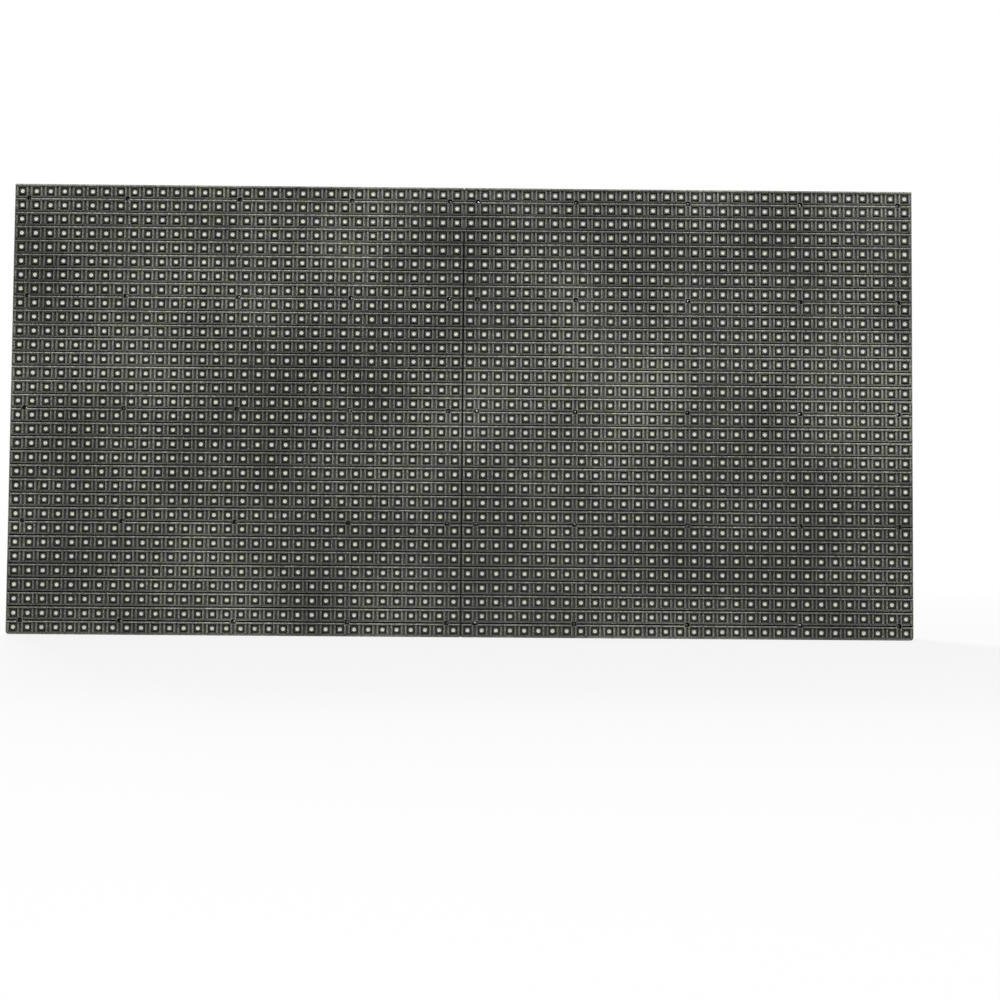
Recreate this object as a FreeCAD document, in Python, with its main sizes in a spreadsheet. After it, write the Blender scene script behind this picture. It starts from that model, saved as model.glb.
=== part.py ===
import FreeCAD, Part
import os
import Sketcher

# Indoor full-colour LED matrix module: 64 by 32 lights on a 5 mm grid, 320 by 160 mm.
# It stands upright on a long edge with its face toward -Y. The origin is the centre of the
# rear mounting plane. Every depth below counts from that plane, y = 0, toward the face.

# Driving sizes, in millimetres: alias, value, what it is
SIZES = [
    ("led_pitch", 5.0, "distance from light to light, both ways"),
    ("led_columns", 64, "lights in a row"),
    ("led_rows", 32, "rows of lights"),
    ("frame_depth", 11.4, "rear mounting plane to the board's rear face"),
    ("board_thickness", 1.6, "printed circuit board"),
    ("board_inset", 0.25, "board edge inside the frame's outline"),
    ("mask_thickness", 2.0, "board's front face to the mask's face"),
    ("mask_seam", 0.3, "gap between the two mask halves"),
    ("mask_wall", 1.0, "rim of each mask half that rests on the board"),
    ("mask_hollow", 1.2, "room behind the mask's plate for the lights"),
    ("window_width", 2.7, "opening round one light, across"),
    ("window_height", 2.7, "opening round one row of lights, up"),
    ("visor_thickness", 0.6, "sun visor over each row"),
    ("visor_drop", 0.15, "visor's top below the top of its row"),
    ("visor_reach", 0.8, "how far a visor stands out of the mask's face"),
    ("led_width", 2.1, "light package, across"),
    ("led_height", 1.1, "strip of light packages, off the board"),
    ("rim_wall", 2.0, "outer wall of the frame"),
    ("side_border", 12.5, "frame's outline to the opening, short sides"),
    ("end_border", 11.1, "frame's outline to the opening, long sides"),
    ("mullion_width", 17.6, "middle bar of the frame"),
    ("window_wall", 2.2, "wall round each opening of the frame"),
    ("floor_thickness", 2.0, "frame's web against the board"),
    ("opening_corner", 5.0, "radius of each opening's outer corners"),
    ("outline_corner", 1.0, "radius of the frame's outer corners"),
    ("rib_thickness", 1.5, "truss ribs of the border"),
    ("mullion_rib", 1.7, "ribs inside the mullion"),
    ("rib_drop", 0.6, "ribs and low bosses below the mounting plane"),
    ("disc_drop", 0.3, "corner discs below the mounting plane"),
    ("brace_foot_z", 8.0, "foot of the side brace on the rim, from the middle"),
    ("brace_gap", 4.5, "end of a side brace from its boss's centre"),
    ("corner_brace_inset", 3.3, "short corner brace, from the outline"),
    ("mullion_foot_z", 10.0, "inner end of the mullion's long brace, from the middle"),
    ("mullion_knee_z", 27.0, "outer end of the mullion's long brace, from the middle"),
    ("mullion_cross_z", 60.6, "mullion's outer cross rib, from the middle"),
    ("truss_step", 30.0, "distance between the border's truss nodes"),
    ("insert_edge_x", 7.3, "corner inserts and discs, from the short sides of the outline"),
    ("insert_span_z", 141.0, "threaded inserts, bottom to top"),
    ("insert_boss_radius", 5.0, "boss round each insert"),
    ("insert_radius", 2.6, "outside of the brass insert"),
    ("insert_length", 6.0, "brass insert"),
    ("insert_bore", 1.25, "inside of the M3 thread"),
    ("insert_flats", 12, "flats that stand for the insert's knurl"),
    ("disc_radius", 6.8, "large corner disc of the frame"),
    ("disc_flare", 1.2, "wall round the disc"),
    ("disc_span_z", 113.0, "large discs, bottom to top"),
    ("boss_radius", 4.5, "small screw boss"),
    ("boss_hole", 1.0, "radius of the pilot hole in bosses and discs"),
    ("boss_hole_depth", 8.0, "pilot hole in bosses and discs"),
    ("boss_flats", 16, "flats round a boss or disc"),
    ("hole_flats", 8, "flats round a pilot hole"),
    ("side_boss_edge", 6.7, "small bosses of the short sides, from the outline"),
    ("side_boss_span_z", 70.0, "small bosses of the short sides, up"),
    ("end_boss_first", 20.0, "inner small boss of the long sides, from the middle"),
    ("end_boss_edge", 6.5, "small bosses of the long sides, from the edge"),
    ("driver_width", 3.9, "driver chip's moulded body, across"),
    ("driver_length", 8.1, "driver chip's moulded body, along its leads"),
    ("driver_span", 7.3, "driver chip over its leads"),
    ("driver_lead_inset", 0.8, "driver chip's length less its row of leads"),
    ("chip_thickness", 1.75, "chips off the board"),
    ("lead_thickness", 0.25, "chip leads on the board"),
    ("driver_inner_x", 46.5, "inner columns of driver chips, from the middle"),
    ("driver_outer_x", 109.8, "outer columns of driver chips, from the middle"),
    ("driver_low_z", 58.7, "lowest driver row, below the middle"),
    ("driver_middle_z", 39.4, "middle driver row, below the middle"),
    ("driver_high_z", 18.6, "highest driver row, below the middle"),
    ("switch_width", 4.8, "row switch chip, across"),
    ("switch_length", 3.9, "row switch chip, up"),
    ("switch_span", 6.0, "row switch chip over its leads"),
    ("switch_lead_inset", 0.6, "row switch chip's width less its row of leads"),
    ("switch_x", 16.4, "row switch chips, from the middle"),
    ("switch_low_z", 65.0, "lowest row switches, below the middle"),
    ("switch_middle_z", 51.4, "middle row switches, below the middle"),
    ("switch_high_z", 32.0, "highest row switches, below the middle"),
    ("buffer_width", 7.5, "buffer chip, across"),
    ("buffer_length", 12.8, "buffer chip, up"),
    ("buffer_span", 10.3, "buffer chip over its leads"),
    ("buffer_lead_inset", 1.0, "buffer chip's length less its row of leads"),
    ("buffer_x", 78.0, "buffer chips, from the middle"),
    ("buffer_low_z", 12.0, "lower buffer chips, above the middle"),
    ("buffer_high_z", 34.0, "upper buffer chips, above the middle"),
    ("pack_width", 1.8, "resistor pack, across"),
    ("pack_length", 3.3, "resistor pack, up"),
    ("pack_thickness", 0.6, "resistor pack"),
    ("pack_near", 7.6, "inner resistor packs, from their chip"),
    ("pack_far", 14.4, "outer resistor packs, from their chip"),
    ("pack_rise", -2.1, "resistor packs, above their chip's middle"),
    ("pack_stagger", 0.8, "every other resistor pack, higher than the next"),
    ("small_part_length", 2.0, "chip resistor or capacitor, along"),
    ("small_part_width", 1.25, "chip resistor or capacitor, across"),
    ("small_part_thickness", 0.8, "chip resistor or capacitor"),
    ("pair_near", 10.7, "resistor and capacitor side by side, from a lowest chip"),
    ("pair_far", 14.2, "resistor and capacitor side by side, from a middle chip"),
    ("pair_rise", 2.8, "resistor and capacitor side by side, above their chip's middle"),
    ("pair_pitch", 3.5, "resistor to capacitor, side by side"),
    ("stack_offset", 9.4, "resistor below capacitor, from their chip"),
    ("stack_rise", 1.9, "resistor below capacitor, above their chip's middle"),
    ("stack_pitch", 2.1, "resistor to capacitor, one below the other"),
    ("can_radius", 4.0, "electrolytic capacitor"),
    ("can_height", 9.2, "electrolytic capacitor's aluminium can"),
    ("can_shoulder", 0.5, "rounded top edge of the can"),
    ("can_base_width", 8.3, "capacitor's plastic base"),
    ("can_base_thickness", 1.1, "capacitor's plastic base"),
    ("can_base_chamfer", 1.8, "cut corners of the base"),
    ("can_x", 27.0, "capacitors, from the middle"),
    ("can_z", 52.6, "lower capacitors, below the middle"),
    ("header_pitch", 2.54, "pins of the ribbon headers"),
    ("header_rows", 8, "pins in each of a header's two columns"),
    ("header_width", 8.9, "ribbon header's shroud, across"),
    ("header_end", 5.1, "shroud past its last pins"),
    ("header_height", 9.0, "shroud off the board"),
    ("header_floor", 2.5, "shroud's floor"),
    ("header_wall", 1.2, "shroud's walls"),
    ("header_key", 4.5, "notch for the plug's key"),
    ("header_pin", 0.64, "square pin"),
    ("header_pin_height", 8.0, "pin tips off the board"),
    ("header_x", 124.0, "ribbon headers, from the middle"),
    ("header_z", 27.0, "ribbon headers, above the middle"),
    ("power_pitch", 3.96, "pins of the power connector"),
    ("power_pins", 4, "pins of the power connector"),
    ("power_width", 9.6, "power connector's tall part, across"),
    ("power_end", 3.96, "power connector past its end pins"),
    ("power_height", 10.0, "power connector off the board"),
    ("power_wall", 1.5, "power connector's walls"),
    ("power_floor", 3.0, "power connector's floor"),
    ("power_ledge", 3.2, "low ledge beside the tall part, across"),
    ("power_pin", 1.14, "square pin"),
    ("power_pin_height", 9.0, "pin tips off the board"),
    ("power_x", 20.6, "power connector's tall part, from the middle"),
    ("power_z", 11.6, "power connector, below the middle"),
]

doc = FreeCAD.newDocument("LedMatrixModule")
sheet = doc.addObject("Spreadsheet::Sheet", "sizes")
for line, (alias, value, note) in enumerate(SIZES, start=1):
    sheet.set(f"A{line}", alias)
    sheet.set(f"B{line}", str(value))
    sheet.setAlias(f"B{line}", alias)
    sheet.set(f"C{line}", note)
doc.recompute()


def size(alias):
    """The sheet's cell, as it is written in an expression."""
    return f"sizes.{alias}"


def number(expression):
    """What an expression comes to with the sheet's present values."""
    return float(sheet.evalExpression(expression))


# Sizes that follow from the sheet
WIDTH = "(sizes.led_pitch * sizes.led_columns)"
HEIGHT = "(sizes.led_pitch * sizes.led_rows)"
RIGHT = f"({WIDTH} / 2)"
TOP = f"({HEIGHT} / 2)"
BOARD_REAR = "sizes.frame_depth"
BOARD_FRONT = "(sizes.frame_depth + sizes.board_thickness)"
MASK_FACE = f"({BOARD_FRONT} + sizes.mask_thickness)"
CIRCUIT_REPEAT = f"({HEIGHT} / 2)"


# Ways of building that several pieces share

def new_body(name):
    """A body whose solids may lie apart, as a group of like pieces does."""
    body = doc.addObject("PartDesign::Body", name)
    body.AllowCompound = True
    return body


def new_sketch(body, name, depth):
    """A sketch parallel to the mounting plane, x across and z up, at a depth below it."""
    plane = [item for item in body.Origin.OriginFeatures if item.Role == "XZ_Plane"][0]
    sketch = body.newObject("Sketcher::SketchObject", name)
    sketch.AttachmentSupport = [(plane, "")]
    sketch.MapMode = "FlatFace"
    sketch.setExpression("AttachmentOffset.Base.z", depth)
    return sketch


def tie(sketch, constraints, expressions):
    """Adds the constraints and binds each to its expression."""
    first = sketch.ConstraintCount
    sketch.addConstraint(constraints)
    for offset, expression in enumerate(expressions):
        sketch.setExpression(f"Constraints[{first + offset}]", expression)


def draw_outline(sketch, corners):
    """A closed outline whose corners are pairs of expressions."""
    points = [FreeCAD.Vector(number(x), number(z), 0) for x, z in corners]
    count = len(points)
    first = sketch.GeometryCount
    lines = [Part.LineSegment(points[i], points[(i + 1) % count]) for i in range(count)]
    sketch.addGeometry(lines, False)
    joins = [
        Sketcher.Constraint("Coincident", first + i, 2, first + (i + 1) % count, 1)
        for i in range(count)
    ]
    sketch.addConstraint(joins)
    constraints = []
    expressions = []
    for i, (x, z) in enumerate(corners):
        constraints.append(Sketcher.Constraint("DistanceX", -1, 1, first + i, 1, points[i].x))
        constraints.append(Sketcher.Constraint("DistanceY", -1, 1, first + i, 1, points[i].y))
        expressions += [x, z]
    tie(sketch, constraints, expressions)


def draw_rectangle(sketch, left, bottom, right, top):
    """A rectangle from the expressions of its four sides."""
    draw_outline(sketch, [(left, bottom), (right, bottom), (right, top), (left, top)])


def finish(body, feature):
    """Makes the feature the body's result and shows a failure at once."""
    body.Tip = feature
    doc.recompute()
    if "Invalid" in feature.State or "Error" in feature.State:
        raise RuntimeError(f"{feature.Name} has failed")
    return feature


def pad(body, sketch, name, length):
    """Material from the sketch's plane toward the face."""
    feature = body.newObject("PartDesign::Pad", name)
    feature.Profile = sketch
    feature.setExpression("Length", length)
    return finish(body, feature)


def pocket(body, sketch, name, length=None):
    """A cut from the sketch's plane toward the face, all the way where no length is given."""
    before = body.Shape.Volume
    feature = body.newObject("PartDesign::Pocket", name)
    feature.Profile = sketch
    feature.Reversed = True
    if length is None:
        feature.Type = "ThroughAll"
    else:
        feature.setExpression("Length", length)
    finish(body, feature)
    if body.Shape.Volume >= before:
        raise RuntimeError(f"{name} has cut nothing")
    return feature


def row_of(body, feature, sketch, name, axis, reach, count):
    """Copies of a feature in a row along one of the sketch's axes."""
    pattern = body.newObject("PartDesign::LinearPattern", name)
    pattern.Originals = [feature]
    pattern.Direction = (sketch, [axis])
    pattern.setExpression("Length", reach)
    pattern.setExpression("Occurrences", count)
    return finish(body, pattern)


SAME_PLACE = 0.001


def round_corners(body, feature, name, corners, radius):
    """Rounds the edges that run along the depth through corners, given as x and z values."""
    chosen = []
    for index, edge in enumerate(feature.Shape.Edges, start=1):
        box = edge.BoundBox
        along_depth = max(box.XLength, box.ZLength) < SAME_PLACE < box.YLength
        at_corner = any(
            abs(box.XMin - x) < SAME_PLACE and abs(box.ZMin - z) < SAME_PLACE for x, z in corners
        )
        if along_depth and at_corner:
            chosen.append(f"Edge{index}")
    fillet = body.newObject("PartDesign::Fillet", name)
    fillet.Base = (feature, chosen)
    fillet.setExpression("Radius", radius)
    return finish(body, fillet)


def block(name, x, z, wide, tall, rear, front):
    """A rectangular block centred on x and z, between two depths."""
    box = doc.addObject("Part::Box", name)
    box.setExpression("Length", wide)
    box.setExpression("Height", tall)
    box.setExpression("Width", f"({front}) - ({rear})")
    box.setExpression("Placement.Base.x", f"({x}) - ({wide}) / 2")
    box.setExpression("Placement.Base.y", f"-({front})")
    box.setExpression("Placement.Base.z", f"({z}) - ({tall}) / 2")
    return box


def disc(name, x, z, radius, rear, front):
    """A round boss or hole centred on x and z, between two depths."""
    cylinder = doc.addObject("Part::Cylinder", name)
    cylinder.Placement.Rotation = FreeCAD.Rotation(FreeCAD.Vector(1, 0, 0), 90)
    cylinder.setExpression("Radius", radius)
    cylinder.setExpression("Height", f"({front}) - ({rear})")
    cylinder.setExpression("Placement.Base.x", x)
    cylinder.setExpression("Placement.Base.y", f"-({rear})")
    cylinder.setExpression("Placement.Base.z", z)
    return cylinder


def prism(name, x, z, radius, flats, rear, front):
    """A boss or hole with flat sides, centred on x and z, between two depths."""
    piece = doc.addObject("Part::Prism", name)
    piece.Placement.Rotation = FreeCAD.Rotation(FreeCAD.Vector(1, 0, 0), 90)
    piece.setExpression("Polygon", flats)
    piece.setExpression("Circumradius", radius)
    piece.setExpression("Height", f"({front}) - ({rear})")
    piece.setExpression("Placement.Base.x", x)
    piece.setExpression("Placement.Base.y", f"-({rear})")
    piece.setExpression("Placement.Base.z", z)
    return piece


def group(name, pieces):
    """Like pieces that lie apart, kept together as one node."""
    compound = doc.addObject("Part::Compound", name)
    compound.Links = pieces
    return compound


def fuse(name, pieces):
    """Pieces grown into one."""
    fusion = doc.addObject("Part::MultiFuse", name)
    fusion.Shapes = pieces
    return fusion


def mirror(name, source, normal):
    """A piece mirrored in a plane through the origin."""
    copy = doc.addObject("Part::Mirroring", name)
    copy.Source = source
    copy.Base = FreeCAD.Vector(0, 0, 0)
    copy.Normal = normal
    return copy


# Rear frame: black glass-filled moulding. An outer wall and a wall round each opening stand
# on a thin web against the board, braced by a truss of ribs with bosses at its nodes.

def frame_tray():
    """The outline with its two openings and the channels between its walls."""
    body = new_body("frame_tray")
    outline = new_sketch(body, "frame_outline", "0")
    draw_rectangle(outline, f"-{RIGHT}", f"-{TOP}", RIGHT, TOP)
    slab = pad(body, outline, "frame_slab", BOARD_REAR)
    corners = [(sx * number(RIGHT), sz * number(TOP)) for sx in (-1, 1) for sz in (-1, 1)]
    round_corners(body, slab, "frame_corners", corners, size("outline_corner"))

    side = f"({RIGHT} - sizes.side_border)"
    end = f"({TOP} - sizes.end_border)"
    middle = "(sizes.mullion_width / 2)"
    openings = new_sketch(body, "opening_outlines", "0")
    draw_rectangle(openings, middle, f"-{end}", side, end)
    draw_rectangle(openings, f"-{side}", f"-{end}", f"-{middle}", end)
    opened = pocket(body, openings, "openings")
    corners = [(sx * number(side), sz * number(end)) for sx in (-1, 1) for sz in (-1, 1)]
    round_corners(body, opened, "opening_corners", corners, size("opening_corner"))

    channels = new_sketch(body, "channel_outlines", "0")
    inner_x = f"({RIGHT} - sizes.rim_wall)"
    inner_z = f"({TOP} - sizes.rim_wall)"
    draw_rectangle(channels, f"-{inner_x}", f"-{inner_z}", inner_x, inner_z)
    wall_side = f"({side} + sizes.window_wall)"
    wall_end = f"({end} + sizes.window_wall)"
    wall_middle = f"({middle} - sizes.window_wall)"
    draw_rectangle(channels, wall_middle, f"-{wall_end}", wall_side, wall_end)
    draw_rectangle(channels, f"-{wall_side}", f"-{wall_end}", f"-{wall_middle}", wall_end)
    cut = pocket(body, channels, "channels", f"{BOARD_REAR} - sizes.floor_thickness")
    corners = [
        (sx * number(wall_side), sz * number(wall_end)) for sx in (-1, 1) for sz in (-1, 1)
    ]
    reach = "(sizes.opening_corner + sizes.window_wall)"
    round_corners(body, cut, "channel_corners", corners, reach)
    return body


def rib(name, start, end, thickness):
    """A straight rib between two points of the frame; the second is higher or as high."""
    run = f"({end[0]} - ({start[0]}))"
    rise = f"({end[1]} - ({start[1]}))"
    length = f"hypot({run}; {rise})"
    wall = doc.addObject("Part::Box", name)
    wall.Placement.Rotation = FreeCAD.Rotation(FreeCAD.Vector(0, -1, 0), 1)
    wall.setExpression("Length", length)
    wall.setExpression("Width", f"{BOARD_REAR} - sizes.rib_drop")
    wall.setExpression("Height", thickness)
    wall.setExpression("Placement.Rotation.Angle", f"atan2({rise}; {run})")
    wall.setExpression("Placement.Base.x", f"{start[0]} + {thickness} / 2 * {rise} / {length}")
    wall.setExpression("Placement.Base.y", f"-{BOARD_REAR}")
    wall.setExpression("Placement.Base.z", f"{start[1]} - {thickness} / 2 * {run} / {length}")
    return wall


def boss(name, x, z, radius, drop):
    """A round boss of the frame, from a drop below the mounting plane down to the board."""
    return prism(name, x, z, radius, size("boss_flats"), drop, BOARD_REAR)


def frame_quarter():
    """Bosses and ribs of the quarter with positive x and z."""
    rim_z = f"({TOP} - sizes.rim_wall / 2)"
    wall_z = f"({TOP} - sizes.end_border + sizes.window_wall / 2)"
    mullion_x = "(sizes.mullion_width / 2 - sizes.window_wall / 2)"
    thin = size("rib_thickness")
    thick = size("mullion_rib")
    low = size("rib_drop")
    node_1, node_2, node_3 = [
        f"(sizes.end_boss_first + sizes.truss_step * {step})" for step in (1, 2, 3)
    ]
    side_brace_end = f"({SIDE_BOSS[1]} - sizes.brace_gap)"
    disc_brace = (f"({RIM_X} - sizes.side_border / 2)", f"({SIDE_BOSS[1]} + sizes.brace_gap)")
    disc_top = (DISC[0], f"({DISC[1]} - sizes.disc_radius)")
    brace_x = f"({RIGHT} - sizes.corner_brace_inset)"
    wide_disc = boss("wide_disc", *DISC, "(sizes.disc_radius + sizes.disc_flare)", low)
    inside_rim = block(
        "inside_rim", f"({RIM_X} / 2)", f"({TOP} / 2)", RIM_X, TOP, "0", BOARD_REAR
    )
    disc_wall = doc.addObject("Part::Common", "disc_wall")
    disc_wall.Base = wide_disc
    disc_wall.Tool = inside_rim
    return [
        boss("corner_insert_boss", *INSERT, size("insert_boss_radius"), "0"),
        boss("corner_disc", *DISC, size("disc_radius"), size("disc_drop")),
        disc_wall,
        boss("side_boss", *SIDE_BOSS, size("boss_radius"), low),
        boss("inner_end_boss", *END_BOSS_INNER, size("boss_radius"), low),
        boss("outer_end_boss", *END_BOSS_OUTER, size("boss_radius"), low),
        rib("truss_1", (node_1, wall_z), END_BOSS_INNER, thin),
        rib("truss_2", (node_1, wall_z), (node_2, rim_z), thin),
        rib("truss_3", (node_3, wall_z), (node_2, rim_z), thin),
        rib("truss_4", (node_3, wall_z), END_BOSS_OUTER, thin),
        rib("strut_1", (node_1, wall_z), (node_1, rim_z), thin),
        rib("strut_2", (node_2, wall_z), (node_2, rim_z), thin),
        rib("strut_3", (node_3, wall_z), (node_3, rim_z), thin),
        rib("side_brace_low", (RIM_X, "sizes.brace_foot_z"), (WALL_X, side_brace_end), thin),
        rib("side_brace_high", disc_brace, disc_top, thin),
        rib("corner_brace", (brace_x, DISC[1]), (brace_x, INSERT[1]), thin),
        rib("mullion_cross_low", ("0", SIDE_BOSS[1]), (mullion_x, SIDE_BOSS[1]), thick),
        rib("mullion_cross_high", ("0", MULLION_CROSS), (mullion_x, MULLION_CROSS), thick),
        rib("mullion_brace_low", ("0", "sizes.mullion_foot_z"), (mullion_x, KNEE), thick),
        rib("mullion_brace_high", (mullion_x, KNEE_MIRRORED), ("0", MULLION_CROSS), thick),
        rib("mullion_end", (mullion_x, wall_z), ("0", rim_z), thick),
    ]


# Places of the frame's bosses in the quarter with positive x and z
INSERT = (f"({RIGHT} - sizes.insert_edge_x)", "(sizes.insert_span_z / 2)")
DISC = (INSERT[0], "(sizes.disc_span_z / 2)")
SIDE_BOSS = (f"({RIGHT} - sizes.side_boss_edge)", "(sizes.side_boss_span_z / 2)")
END_BOSS_INNER = ("sizes.end_boss_first", f"({TOP} - sizes.end_boss_edge)")
END_BOSS_OUTER = (
    "(sizes.end_boss_first + sizes.truss_step * 4)",
    f"({TOP} - sizes.end_boss_edge)",
)
RIM_X = f"({RIGHT} - sizes.rim_wall / 2)"
WALL_X = f"({RIGHT} - sizes.side_border + sizes.window_wall / 2)"
MULLION_CROSS = "sizes.mullion_cross_z"
KNEE = "sizes.mullion_knee_z"
KNEE_MIRRORED = f"({SIDE_BOSS[1]} * 2 - {KNEE})"
CORNERS = [("left_low", "-1", "-1"), ("right_low", "1", "-1"), ("left_high", "-1", "1"),
           ("right_high", "1", "1")]
INSERT_PLACES = [
    (name, f"({across} * {INSERT[0]})", f"({up} * {INSERT[1]})")
    for name, across, up in CORNERS + [("middle_low", "0", "-1"), ("middle_high", "0", "1")]
]


def rear_frame():
    """The whole moulding, with its insert seats and pilot holes."""
    right = fuse("frame_quarter", frame_quarter())
    left = mirror("frame_quarter_left", right, FreeCAD.Vector(1, 0, 0))
    centre_boss = boss("centre_insert_boss", "0", INSERT[1], size("insert_boss_radius"), "0")
    upper = fuse("frame_upper_bracing", [right, left, centre_boss])
    lower = mirror("frame_lower_bracing", upper, FreeCAD.Vector(0, 0, 1))
    spine = rib("mullion_spine", ("0", f"-{INSERT[1]}"), ("0", INSERT[1]), size("mullion_rib"))
    thin = size("rib_thickness")
    cross_right = rib("side_cross_right", (WALL_X, "0"), (RIM_X, "0"), thin)
    cross_left = rib("side_cross_left", (f"-{RIM_X}", "0"), (f"-{WALL_X}", "0"), thin)
    tray = frame_tray()
    solid = fuse("frame_solid", [tray, upper, lower, spine, cross_right, cross_left])

    holes = [
        prism(
            f"insert_seat_{name}", x, z,
            size("insert_radius"), size("insert_flats"), "0", size("insert_length"),
        )
        for name, x, z in INSERT_PLACES
    ]
    bosses = {
        "disc": DISC,
        "side_boss": SIDE_BOSS,
        "inner_end_boss": END_BOSS_INNER,
        "outer_end_boss": END_BOSS_OUTER,
    }
    for label, (x, z) in bosses.items():
        for corner, across, up in CORNERS:
            holes.append(prism(
                f"{label}_hole_{corner}", f"({across} * {x})", f"({up} * {z})",
                size("boss_hole"), size("hole_flats"), "0", size("boss_hole_depth"),
            ))
    frame = doc.addObject("Part::Cut", "rear_frame")
    frame.Base = solid
    frame.Tool = group("frame_holes", holes)
    return frame


# Threaded inserts: turned brass with an M3 thread, the knurl outside as flats

def threaded_inserts():
    """Six inserts, pressed into the frame's bosses flush with the mounting plane."""
    inserts = []
    for name, x, z in INSERT_PLACES:
        outside = prism(
            f"insert_outside_{name}", x, z,
            size("insert_radius"), size("insert_flats"), "0", size("insert_length"),
        )
        bore = disc(f"insert_bore_{name}", x, z, size("insert_bore"), "0", size("insert_length"))
        insert = doc.addObject("Part::Cut", f"insert_{name}")
        insert.Base = outside
        insert.Tool = bore
        inserts.append(insert)
    return group("threaded_inserts", inserts)


# Circuit board: one black glass-epoxy board behind both mask halves

def circuit_board():
    """The board, a little inside the frame's outline."""
    body = new_body("circuit_board")
    outline = new_sketch(body, "board_outline", BOARD_REAR)
    x = f"({RIGHT} - sizes.board_inset)"
    z = f"({TOP} - sizes.board_inset)"
    draw_rectangle(outline, f"-{x}", f"-{z}", x, z)
    pad(body, outline, "board_slab", size("board_thickness"))
    return body


# Lights: each column of black packages is one strip here, seen through the mask's rows

def led_columns(name, first):
    """The strips of one half, from the x expression of its first column."""
    body = new_body(name)
    strip = new_sketch(body, f"{name}_first", BOARD_FRONT)
    reach = f"({TOP} - sizes.led_pitch / 2 + sizes.led_width / 2)"
    half = "sizes.led_width / 2"
    draw_rectangle(strip, f"{first} - {half}", f"-{reach}", f"{first} + {half}", reach)
    one = pad(body, strip, f"{name}_strip", size("led_height"))
    columns = "(sizes.led_columns / 2)"
    row_of(body, one, strip, f"{name}_row", "H_Axis", f"sizes.led_pitch * ({columns} - 1)", columns)
    return body


# Mask halves: matt black moulded louvre, hollow behind, with a visor over every row

def face_mask(name, left, right, first, last):
    """One half, between two x expressions, round the columns from first to last."""
    body = new_body(name)
    outline = new_sketch(body, f"{name}_outline", BOARD_FRONT)
    draw_rectangle(outline, left, f"-{TOP}", right, TOP)
    pad(body, outline, f"{name}_slab", size("mask_thickness"))

    hollow = new_sketch(body, f"{name}_hollow_outline", BOARD_FRONT)
    wall = "sizes.mask_wall"
    draw_rectangle(
        hollow, f"{left} + {wall}", f"-{TOP} + {wall}", f"{right} - {wall}", f"{TOP} - {wall}"
    )
    pocket(body, hollow, f"{name}_hollow", size("mask_hollow"))

    slot = new_sketch(body, f"{name}_slot_outline", BOARD_FRONT)
    lowest_row = f"(-{TOP} + sizes.led_pitch / 2)"
    draw_rectangle(
        slot,
        f"{first} - sizes.window_width / 2", f"{lowest_row} - sizes.window_height / 2",
        f"{last} + sizes.window_width / 2", f"{lowest_row} + sizes.window_height / 2",
    )
    one = pocket(body, slot, f"{name}_slot")
    reach = "sizes.led_pitch * (sizes.led_rows - 1)"
    row_of(body, one, slot, f"{name}_slots", "V_Axis", reach, "sizes.led_rows")

    visor = new_sketch(body, f"{name}_visor_outline", MASK_FACE)
    visor_top = f"(-{TOP} + sizes.led_pitch - sizes.visor_drop)"
    draw_rectangle(visor, left, f"{visor_top} - sizes.visor_thickness", right, visor_top)
    one = pad(body, visor, f"{name}_visor", size("visor_reach"))
    row_of(body, one, visor, f"{name}_visors", "V_Axis", reach, "sizes.led_rows")
    return body


# Chips on the board's rear face, the same circuit twice: lower half and upper half

def circuit_levels(*heights):
    """Heights below the middle, and the same ones a circuit higher."""
    lower = [f"(-{value})" for value in heights]
    return lower + [f"({CIRCUIT_REPEAT} - {value})" for value in heights]


DRIVER_COLUMNS = [
    f"({sign}sizes.{column})"
    for sign in ("-", "")
    for column in ("driver_outer_x", "driver_inner_x")
]
DRIVER_ROWS = circuit_levels("sizes.driver_low_z", "sizes.driver_middle_z", "sizes.driver_high_z")
DRIVER_PLACES = [(x, z) for x in DRIVER_COLUMNS for z in DRIVER_ROWS]
SWITCH_ROWS = circuit_levels("sizes.switch_low_z", "sizes.switch_middle_z", "sizes.switch_high_z")
SWITCH_PLACES = [(x, z) for x in ("(-sizes.switch_x)", "sizes.switch_x") for z in SWITCH_ROWS]
BUFFER_PLACES = [
    (x, z)
    for x in ("(-sizes.buffer_x)", "sizes.buffer_x")
    for z in ("sizes.buffer_low_z", "sizes.buffer_high_z")
]


def blocks_on_board(name, places, wide, tall, thickness, lift="0"):
    """Like blocks on the board's rear face, or above it by a lift."""
    front = f"({BOARD_REAR} - {lift})"
    rear = f"({front} - {thickness})"
    pieces = [
        block(f"{name}_{index}", x, z, wide, tall, rear, front)
        for index, (x, z) in enumerate(places)
    ]
    return group(name, pieces)


def chips(name, places, wide, tall):
    """Moulded chip bodies, resting on their leads."""
    lead = size("lead_thickness")
    return blocks_on_board(name, places, wide, tall, f"(sizes.chip_thickness - {lead})", lead)


def chip_leads(name, places, wide, tall):
    """The lead frame under each chip, soldered to the board."""
    return blocks_on_board(name, places, wide, tall, size("lead_thickness"))


def resistor_packs():
    """Four packs beside each of the highest driver chips of a circuit, every other one higher."""
    offsets = {
        "- sizes.pack_far": "+", "- sizes.pack_near": "-",
        "+ sizes.pack_near": "+", "+ sizes.pack_far": "-",
    }
    places = [
        (f"({x} {offset})", f"({z} {step} sizes.pack_stagger / 2)")
        for x in DRIVER_COLUMNS
        for offset, step in offsets.items()
        for z in circuit_levels("(sizes.driver_high_z - sizes.pack_rise)")
    ]
    return blocks_on_board(
        "resistor_packs", places, size("pack_width"), size("pack_length"), size("pack_thickness")
    )


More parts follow.
